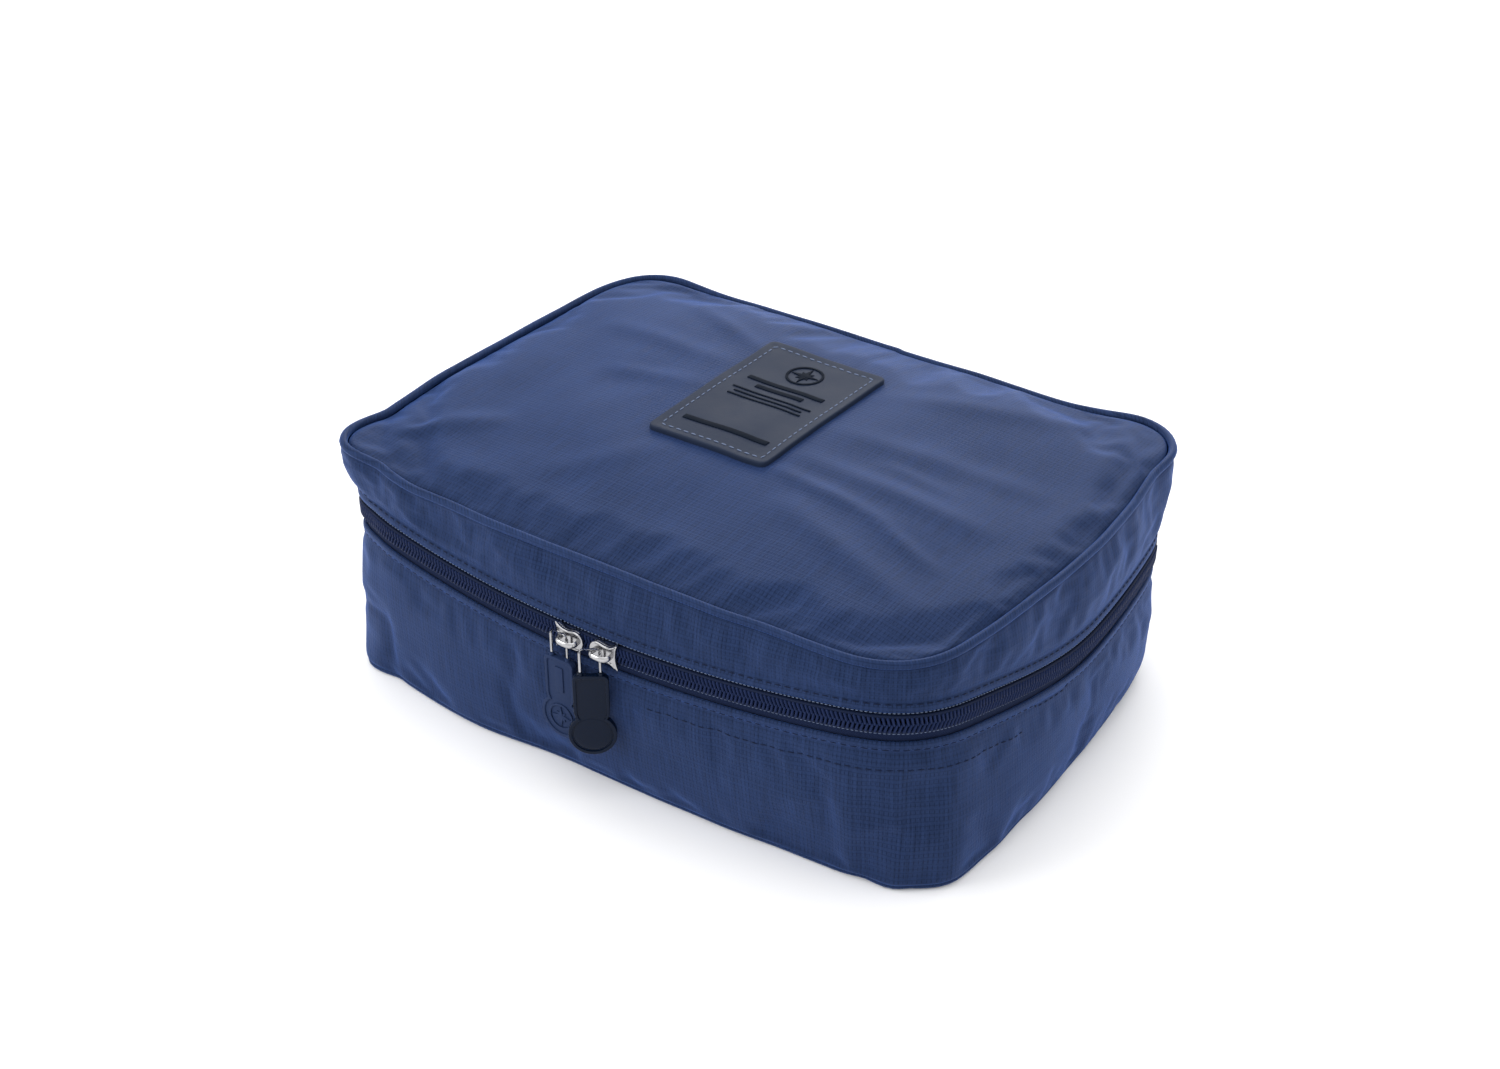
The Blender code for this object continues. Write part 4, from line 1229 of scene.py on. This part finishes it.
def makePatchMarks():
    mark = makeMark("labelMark", patch["markRadius"], patch["relief"])
    bm = bmesh.new()
    bm.from_mesh(mark.data)
    bpy.data.objects.remove(mark)
    cx, cy = patch["centre"]
    mx, my = patch["markCentre"]
    layOnLid(bm, patchTop, -0.08 * mm, (cx + mx, cy + my))
    for middle, long, wide in patch["bars"]:
        bar = bmesh.new()
        bmesh.ops.create_cube(bar, size=1)
        bmesh.ops.scale(bar, vec=(long * mm, wide * mm, patch["relief"]), verts=bar.verts)
        softenEdges(bar, bar.edges, 0.14 * mm, 2)
        lengthwise = [e for e in bar.edges if abs(e.verts[0].co.x - e.verts[1].co.x) > 5 * mm]
        bmesh.ops.subdivide_edges(bar, edges=lengthwise, cuts=12, use_grid_fill=True)
        layOnLid(bar, patchTop, 0.1 * mm, (cx, cy + middle * mm))
        mesh = smallShape("bar", bar)
        bm.from_mesh(mesh)
    marks = finishPiece("labelMarks", bm, markRubber)
    marks.data.set_sharp_from_angle(angle=math.radians(40))
    fit(marks, "lid", "label")


makePatchStitching()
makePatchMarks()
print("label made")

# Zip sliders and pulls, in mm: x along the zip, y up, z out of the case.
slider = {
    "seat": 6.2,  # from the middle of the front
    "edge": ((-4.9, 0.0), (-4.6, 1.5), (-3.3, 2.9), (-1.7, 3.2), (0.6, 2.75), (2.6, 2.9), (4.0, 3.6),
             (5.3, 4.3), (4.7, 2.4), (4.45, 0.0)),
    "top": (1.4, 2.3),
    "back": (-3.1, -2.2),
    "lip": (-0.6, 1.6),
    "post": ((-2.4, 0), (-1.4, 0.3), (2.4, 0.3), (2.4, -0.3), (-1.4, -0.3)),
    "bridge": ((-3.0, 2.0), (-3.2, 3.6), (-2.2, 5.0), (0.0, 5.35), (2.2, 5.0), (3.2, 3.6), (3.0, 2.0)),
    "bridgeRadius": 0.55,
}
pull = {
    "ringOut": 3.55,
    "ringWidth": 6.0,
    "ringTop": 2.2,
    "wire": 0.46,
    "tabTop": -7.0,
    "tabLength": 28.5,
    "tabHalf": 5.35,
    "disc": 7.25,
    "thickness": 2.0,
    "rightTurn": 35,
}


def seatOf(side):
    x = side * slider["seat"] * mm
    return Matrix.Translation((x, frontY(x) + centreY, frontZipZ(x))) @ Matrix.Rotation(math.pi / 2, 4, "X")


def mmLine(points):
    return [(p[0] * mm, p[1] * mm) for p in points]


def plate(name, lines, low, high, paint, rounding=0.0):
    # A flat shape given in mm.
    return flatShape(name, [mmLine(line) for line in lines], low * mm, high * mm, paint, rounding * mm)


def mirrored(half):
    # The other side of a line that starts and ends on X.
    return half + [(x, -y) for x, y in reversed(half[1:-1])]


def softened(piece, width, angle=40):
    limit = math.radians(angle)
    addModifier(piece, "BEVEL", "softened", width=width, segments=2, limit_method="ANGLE", angle_limit=limit)
    return piece


def makeSlider(side, body):
    half = smoothLine([Vector(p) for p in slider["edge"]], 3)
    line = mirrored([(side * p.x, p.y) for p in half])
    pieces = []
    for key, rounding in (("top", 0.22), ("back", 0.2)):
        pieces.append(plate(body + key, [line], *slider[key], nickel, rounding))
    rail = [p for p in half if -3.4 <= p.x <= 4.6 and p.y > 2]
    for up in (1, -1):
        lip = [(side * p.x, up * p.y) for p in rail]
        lip += [(side * p.x, up * (p.y - 0.75)) for p in reversed(rail)]
        pieces.append(plate(body + "Lip", [lip], *slider["lip"], nickel, 0.15))
        edge = [Vector((side * p.x, up * (p.y - 0.35), 2.25)) * mm for p in rail]
        pieces.append(tube(body + "Rim", edge, 0.36 * mm, nickel))
    post = [(side * x, y) for x, y in slider["post"]]
    pieces.append(plate(body + "Post", [post], slider["back"][0] + 0.3, 1.9, nickel))
    arch = smoothLine([Vector((x, 0, z)) for x, z in slider["bridge"]], 4)
    bridge = tube(body + "Bridge", [p * mm for p in arch], slider["bridgeRadius"] * mm, nickel, sides=3)
    bridge.data.transform(Matrix.Diagonal((1, 1.75, 1, 1)))
    made = joinPieces(body + "Body", pieces + [bridge])
    made.data.transform(seatOf(side))
    fit(softened(made, 0.06 * mm), body, "nickel", body)


def tabLine(inset=0.0):
    # Rounded shoulders, straight sides and a disc at the foot, from the middle of the tab's top.
    half, disc = pull["tabHalf"] - inset, pull["disc"] - inset
    middle = -pull["tabLength"] + pull["disc"]
    corner = 1.8 - inset * 0.6
    meet = math.degrees(math.asin((half - 0.9) / disc))
    top = arcLine((half - corner, -corner - inset), corner, 0, 90, 6)
    top += arcLine((-half + corner, -corner - inset), corner, 90, 180, 6)
    neck = middle + disc * math.cos(math.radians(meet))
    foot = arcLine((0, middle), disc, 90 + meet, 450 - meet, 40)
    left = [(-half, neck + 2.2), (-half + 0.35, neck + 0.9)]
    return top + left + foot + [(-x, y) for x, y in reversed(left)]


def makeRing(body, carry):
    # A wire loop from inside the tab's top, through the slider's bridge and back.
    width, top, drop, bend = pull["ringWidth"], pull["ringTop"], pull["tabTop"], 1.3
    leg = [drop - 1.2, drop, -2, top - 1.2]
    route = [(0, y) for y in leg] + arcLine((-bend, top - bend), bend, 0, 90, 7)
    route += arcLine((-width + bend, top - bend), bend, 90, 180, 7) + [(-width, y) for y in reversed(leg)]
    ring = tube(body + "Loop", [Vector((x, y, 0)) * mm for x, y in route], pull["wire"] * mm, nickel, sides=3)
    ring.data.transform(carry)
    fit(ring, body, "nickel", body + "_ring")


def makePull(side, body, yaw, rubber, marked):
    turn = Matrix.Rotation(math.radians(yaw), 4, "Y")
    carry = seatOf(side) @ Matrix.Translation((0, 0, pull["ringOut"] * mm)) @ turn
    makeRing(body, carry)
    half, width, middle = pull["thickness"] / 2, pull["ringWidth"], -pull["tabLength"] + pull["disc"]
    pieces = [plate(body + "Core", [tabLine()], -half + 0.35, half - 0.35, rubber, 0.3)]
    for low, high in ((-half, -half + 0.7), (half - 0.7, half)):
        pieces.append(plate(body + "Border", [tabLine(), tabLine(1.0)], low, high, rubber, 0.16))
    for x in (-width / 2, width / 2):
        sleeve = [Vector((x, y, 0)) * mm for y in (0.9, 0.6, -1.5)]
        pieces.append(tube(body + "Sleeve", sleeve, 0.85 * mm, rubber, sides=3))
    if marked:
        mark = makeMark(body + "Mark", 4.6 * mm, 0.45 * mm)
        mark.data.transform(Matrix.Translation((0, middle * mm, (half - 0.4) * mm)))
        bar = [(-1.5, -3.2), (1.5, -3.2), (1.5, -12), (-1.5, -12)]
        pieces += [mark, plate(body + "Bar", [bar], half - 0.4, half + 0.02, rubber, 0.15)]
    else:
        dome = bmesh.new()
        bmesh.ops.create_uvsphere(dome, u_segments=32, v_segments=16, radius=1)
        bmesh.ops.scale(dome, vec=(5.9 * mm, 5.9 * mm, 0.62 * mm), verts=dome.verts)
        bmesh.ops.translate(dome, vec=(0, middle * mm, (half - 0.4) * mm), verts=dome.verts)
        pieces.append(finishPiece(body + "Dome", dome, rubber))
    tab = joinPieces(body + "Tab", pieces)
    tab.data.transform(carry @ Matrix.Translation((-width / 2 * mm, pull["tabTop"] * mm, 0)))
    fit(softened(tab, 0.05 * mm), body, "tab_rubber", body + "_tab")


makeSlider(-1, "slider_left")
makeSlider(1, "slider_right")
makePull(-1, "pull_left", 0, matteRubber, True)
makePull(1, "pull_right", pull["rightTurn"], glossRubber, False)
print("sliders and pulls made")

# Inside: linings, divider and the mesh pocket under the lid.
inside = {
    "floorZ": 3.2 * mm,
    "ceilingZ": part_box("lid_lining")[1].z - 0.2 * mm,
    "rimGap": 5.2 * mm,
    "hingeGap": 0.6 * mm,
    "rim": ((0.0, -1.35), (0.4, -2.6), (1.4, -4.0), (2.8, -4.6)),  # as the hem's line
    "wallRows": 9,
    "soft": 0.6 * mm,
    "panelOut": -6.3 * mm,
    "panelSoft": 0.5 * mm,
    "cloth": 0.3 * mm,
}


def liningWall(name, body, side, seed, node):
    # From the zip's tape, round the rim and down (or up) the wall to the corner of the floor (or ceiling).
    floorZ = inside["floorZ"] if side < 0 else inside["ceilingZ"]
    rows, rimEnd = inside["wallRows"], inside["rim"][-1][0]
    levels = [(drop, 0.0, out) for drop, out in inside["rim"]]
    levels += [(rimEnd, i / rows, -4.7) for i in range(1, rows + 1)]
    levels += [(rimEnd, 1.0, -5.3), (rimEnd, 1.03, -6.6)]

    def place(run, level):
        drop, share, out = level
        onZip = abs(wrapRun(run)) < zipEnd
        start = zipHeight(run) if onZip else caseShape["hingeZ"]
        start += side * (inside["rimGap" if onZip else "hingeGap"] + drop * mm)
        z = start + (floorZ - side * 0.6 * mm * (share < 1.02) - start) * min(1, share)
        swing = math.sin(wrapRun(run) / halfRun * math.pi) * 9
        soft = inside["soft"] * wobble(swing, z * 60, seed) * math.sin(math.pi * min(1, share))
        return wallPoint(run, z, out * mm + soft)

    runs = spread(-halfRun, halfRun, 3.6 * mm)
    piece = clothStrip(name, runs, levels, place, liningCloth, inside["cloth"], -1, closed=True)
    fit(piece, body, "lining", node)


def liningPanel(name, body, z, side, seed, *nodes):
    def height(x, y, rim):
        return z + wobble(x * 26, y * 26, seed) * inside["panelSoft"] * smooth(rim / 0.08)

    bm = panelGrid(inside["panelOut"], height, (64, 48))
    if side > 0:
        bmesh.ops.reverse_faces(bm, faces=bm.faces)
    fit(thicken(finishPiece(name, bm, liningCloth), inside["cloth"]), body, "lining", *nodes)


liningWall("baseLiningWall", "base", -1, 2.2, "base_lining")
liningPanel("baseLiningFloor", "base", inside["floorZ"] + 0.3 * mm, -1, 5.5, "base_board")
liningWall("lidLiningWall", "lid", 1, 7.1, "lid_lining")
liningPanel("lidLiningCeiling", "lid", inside["ceilingZ"] - 0.5 * mm, 1, 9.4)

hingeLining = {
    "low": 43.6 * mm,
    "high": 51.6 * mm,
    "out": -4.95 * mm,
    "sag": 0.35 * mm,
    "bend": (45.4 * mm, 49.6 * mm),
}


def makeHingeLining():
    # The strip of lining that crosses the hinge inside.
    def place(run, z):
        sag = hingeLining["sag"] * bell(z - caseShape["hingeZ"], 2 * mm)
        return wallPoint(run, z, hingeLining["out"] - sag)

    runs = spread(zipEnd + 2 * mm, 2 * halfRun - zipEnd - 2 * mm, 3 * mm)
    heights = spread(hingeLining["low"], hingeLining["high"], 0.8 * mm)
    piece = clothStrip("hingeLining", runs, heights, place, liningCloth, inside["cloth"], -1)
    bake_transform(piece)


makeHingeLining()

divider = {
    "thickness": 2.6 * mm,
    "quilt": 14 * mm,
    "dip": 0.7 * mm,
    "binding": 1.5 * mm,
    "stitchOut": 1.42 * mm,
}


def makeDivider():
    low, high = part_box("divider")
    x, length, height = (low.x + high.x) / 2, high.y - low.y - 1.2 * mm, high.z - low.z - 1.4 * mm
    middleY, middleZ = (low.y + high.y) / 2, (low.z + high.z) / 2 - 0.4 * mm
    bm = bmesh.new()
    bmesh.ops.create_cube(bm, size=1)
    bmesh.ops.scale(bm, vec=(divider["thickness"], length, height), verts=bm.verts)
    for axis, cuts in ((1, 71), (2, 23)):
        edges = [e for e in bm.edges if abs(e.verts[0].co[axis] - e.verts[1].co[axis]) > mm]
        bmesh.ops.subdivide_edges(bm, edges=edges, cuts=cuts, use_grid_fill=True)
    for v in bm.verts:
        a, b = (v.co.y + v.co.z) / divider["quilt"], (v.co.y - v.co.z) / divider["quilt"]
        puff = abs(math.sin(math.pi * a) * math.sin(math.pi * b)) ** 0.4
        rim = min(length / 2 - abs(v.co.y), height / 2 - abs(v.co.z))
        v.co.x += math.copysign(divider["dip"] * (puff - 0.6) * smooth(rim / (5 * mm)), v.co.x)
    bmesh.ops.translate(bm, vec=(x, middleY, middleZ), verts=bm.verts)
    bmesh.ops.recalc_face_normals(bm, faces=bm.faces)
    layCloth(bm, lambda v: v.co.yz)
    piece = softened(finishPiece("paddedDivider", bm, liningCloth), 0.8 * mm, 60)
    fit(piece, "base", "lining", "divider")
    top = middleZ + height / 2
    line = [Vector((x, middleY + t * length / 2, top - 0.4 * mm)) for t in np.linspace(-1, 1, 40)]
    fit(tube("dividerBinding", line, divider["binding"], bindingCloth, sides=3), "base", "piping_fabric")
    for side, end in ((-1, "Left"), (1, "Right")):
        out = Vector((side, 0, 0))
        shift = out * divider["stitchOut"] + Vector((0, 0, -divider["binding"]))
        sewRow("dividerStitching" + end, [(p + shift, out) for p in line], topstitch, paleThread, "base")


makeDivider()
print("linings and divider made")

pocket = {
    "halfWidth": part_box("pocket_mesh")[1].x,
    "zipY": (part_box("pocket_tape_rear")[0].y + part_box("pocket_tape_front")[1].y) / 2,
    "backY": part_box("pocket_mesh")[1].y,
    "frontY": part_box("pocket_tape_front")[0].y,
    "z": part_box("pocket_mesh")[0].z,
    "cell": 1.8 * mm,
    "thread": 0.54 * mm,
    "sag": 1.1 * mm,
    "toothPitch": 1.2 * mm,
    "rowCoil": 3.1 * mm,  # of the coil's stitches, from the middle of the zip
    "rowTape": 6.9 * mm,
    "binding": 1.25 * mm,
    "corner": 3 * mm,
    "sliderX": (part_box("pocket_slider")[0].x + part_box("pocket_slider")[1].x) / 2,
    "sliderEdge": ((-4, 0), (-3.7, 1.6), (-2.6, 2.7), (-0.6, 2.6), (1.6, 2.5), (3.9, 3.1), (3.6, 0)),  # in mm
    "sliderPost": ((-2, -0.3), (2, -0.3), (2, 0.3), (-2, 0.3)),
    "pullLength": 12.0,
    "pullHalf": 2.2,
}


def makePocketNet():
    half, near, back = pocket["halfWidth"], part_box("pocket_mesh")[0].y - 1.5 * mm, pocket["backY"]
    across, along = 2 * half, back - near
    reach = (across + along) / math.sqrt(2)
    count = round(reach / pocket["cell"])
    bm = bmesh.new()
    bmesh.ops.create_grid(bm, x_segments=count, y_segments=count, size=reach / 2)
    bmesh.ops.rotate(bm, matrix=Matrix.Rotation(math.pi / 4, 3, "Z"), verts=bm.verts)
    for axis, limit in (((1, 0, 0), across / 2), ((0, 1, 0), along / 2)):
        for side in (1, -1):
            out, whole = Vector(axis) * side, bm.verts[:] + bm.edges[:] + bm.faces[:]
            bmesh.ops.bisect_plane(bm, geom=whole, plane_co=out * limit, plane_no=out, clear_outer=True)
    bmesh.ops.wireframe(bm, faces=bm.faces, thickness=pocket["thread"], use_replace=True, use_boundary=True,
                        use_even_offset=True)
    y = (near + back) / 2
    for v in bm.verts:
        inX, inY = 1 - abs(v.co.x) / (across / 2), 1 - abs(v.co.y) / (along / 2)
        sag = pocket["sag"] * smooth(inX * 4) * smooth(inY * 3) * (1 + 0.5 * noise.noise(v.co * 30))
        v.co = (v.co.x, v.co.y + y, v.co.z + pocket["z"] + 0.25 * mm - sag)
    bmesh.ops.recalc_face_normals(bm, faces=bm.faces)
    return fit(finishPiece("pocketNet", bm, meshCloth), "lid", "mesh", "pocket_mesh"), (across, along)


def makePocketTape(name, node):
    def place(x, y):
        return Vector((x, y, pocket["z"] + 0.5 * mm + 0.12 * mm * wobble(x * 80, y * 80, 3)))

    (_, low, _), (_, high, _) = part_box(node)
    half = pocket["halfWidth"]
    bm = stripGrid(spread(-half, half, 3 * mm), spread(low, high, 1.6 * mm), place)[0]
    bmesh.ops.reverse_faces(bm, faces=bm.faces)  # its face looks down into the case
    fit(thicken(finishPiece(name, bm, tapeCloth), 0.4 * mm), "lid", "zip_tape", node)


pocketRows = (("Coil", 2 * mm, coilStitch, paleThread), ("Tape", 0, topstitch, darkThread))


def makePocketZip():
    half, y0, down = pocket["halfWidth"], pocket["zipY"], Vector((0, 0, -1))
    z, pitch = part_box("pocket_coil_rear")[1].z - 0.55 * mm, pocket["toothPitch"]
    for end, side in (("Rear", 1), ("Front", -1)):
        node = "_" + end.lower()
        makePocketTape("pocketTape" + end, "pocket_tape" + node)
        lean = Matrix.Rotation(math.radians(zipParts["toothLean"] * side), 4, "Z")
        shape = lean @ Matrix.Diagonal((0.9, 0.8, 0.8, 1))
        places = []
        for i in range(int((2 * half - 4 * mm) / pitch)):
            x = -half + 2 * mm + (i + (0.5 if side > 0 else 0)) * pitch
            places.append(frameAt(Vector((x, y0 + side * 1.0 * mm, z)), Vector((1, 0, 0)), down) @ shape)
        coil = copiesOf("pocketCoil" + end, toothShape(), places, coilPlastic)
        fit(coil, "lid", "zip_coil", "pocket_coil" + node)
        for row, inset, thread, paint in pocketRows:
            y = y0 + side * pocket["row" + row]
            runs = spread(-half + inset, half - inset, 2 * mm)
            seam = [(Vector((x, y, pocket["z"] + 0.05 * mm)), down) for x in runs]
            sewRow("pocket" + row + "Stitching" + end, seam, thread, paint, "lid")


def makePocketBinding():
    half, back, front = pocket["halfWidth"] + 0.6 * mm, pocket["backY"] + 0.6 * mm, pocket["frontY"]
    z, r = pocket["z"] + 0.35 * mm, pocket["corner"]
    line = [(half, front)] + [(half, y) for y in spread(front, back - r, 4 * mm)[1:]]
    line += arcLine((half - r, back - r), r, 0, 90, 7)
    line += [(x, back) for x in spread(half - r, -half + r, 4 * mm)[1:-1]]
    line += arcLine((-half + r, back - r), r, 90, 180, 7)
    line += [(-half, y) for y in spread(back - r, front, 4 * mm)[1:]]
    route = [Vector((x, y, z)) for x, y in line]
    piece = tube("pocketBinding", route, pocket["binding"], bindingCloth, sides=3)
    return fit(piece, "lid", "piping_fabric", "pocket_binding")


def makePocketSlider():
    x, y = pocket["sliderX"], pocket["zipY"]
    low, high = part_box("pocket_slider")
    upper, lower, hook = high.z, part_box("pocket_coil_rear")[0].z - 0.4 * mm, low.z + 0.5 * mm
    half = smoothLine([Vector(p) for p in pocket["sliderEdge"]], 3)
    line, post = mmLine(mirrored([(p.x, p.y) for p in half])), mmLine(pocket["sliderPost"])
    pieces = [
        flatShape("pocketSliderTop", [line], upper - 0.9 * mm, upper, nickel, 0.2 * mm),
        flatShape("pocketSliderFace", [line], lower - 0.95 * mm, lower, nickel, 0.25 * mm),
        flatShape("pocketSliderPost", [post], lower - 0.5 * mm, upper - 0.5 * mm, nickel),
    ]
    seat = lower - 0.5 * mm
    bends = ((-2.3, seat), (-2.3, hook + mm), (-1.2, hook), (1.2, hook), (2.3, hook + mm), (2.3, seat))
    arch = smoothLine([Vector((0, across * mm, z)) for across, z in bends], 4)
    pieces.append(tube("pocketSliderHook", arch, 0.5 * mm, nickel, sides=3))
    made = joinPieces("pocketSlider", pieces)
    made.data.transform(Matrix.Translation((x, y, 0)))
    fit(made, "pocket_slider", "nickel", "pocket_slider")

    length, wide = pocket["pullLength"], pocket["pullHalf"]
    edge = arcLine((0, 0), wide, 0, 180, 16) + [(-1.7, -5)]
    edge += arcLine((0, -length), wide, 180, 360, 16) + [(1.7, -5)]
    window = arcLine((0, -length), 1.1, 180, 360, 10) + arcLine((0, -length + 3), 1.1, 0, 180, 10)
    tab = plate("pocketPull", [edge, circleLine(1.0, 24), window], -0.5, 0.5, nickel, 0.18)
    tab.data.transform(Matrix.Translation((x, y, hook)) @ Matrix.Rotation(math.pi / 2, 4, "X"))
    fit(tab, "pocket_pull", "nickel", "pocket_pull")


net, netSize = makePocketNet()
makePocketZip()
pocketEdge = makePocketBinding()
makePocketSlider()
print("mesh pocket made")
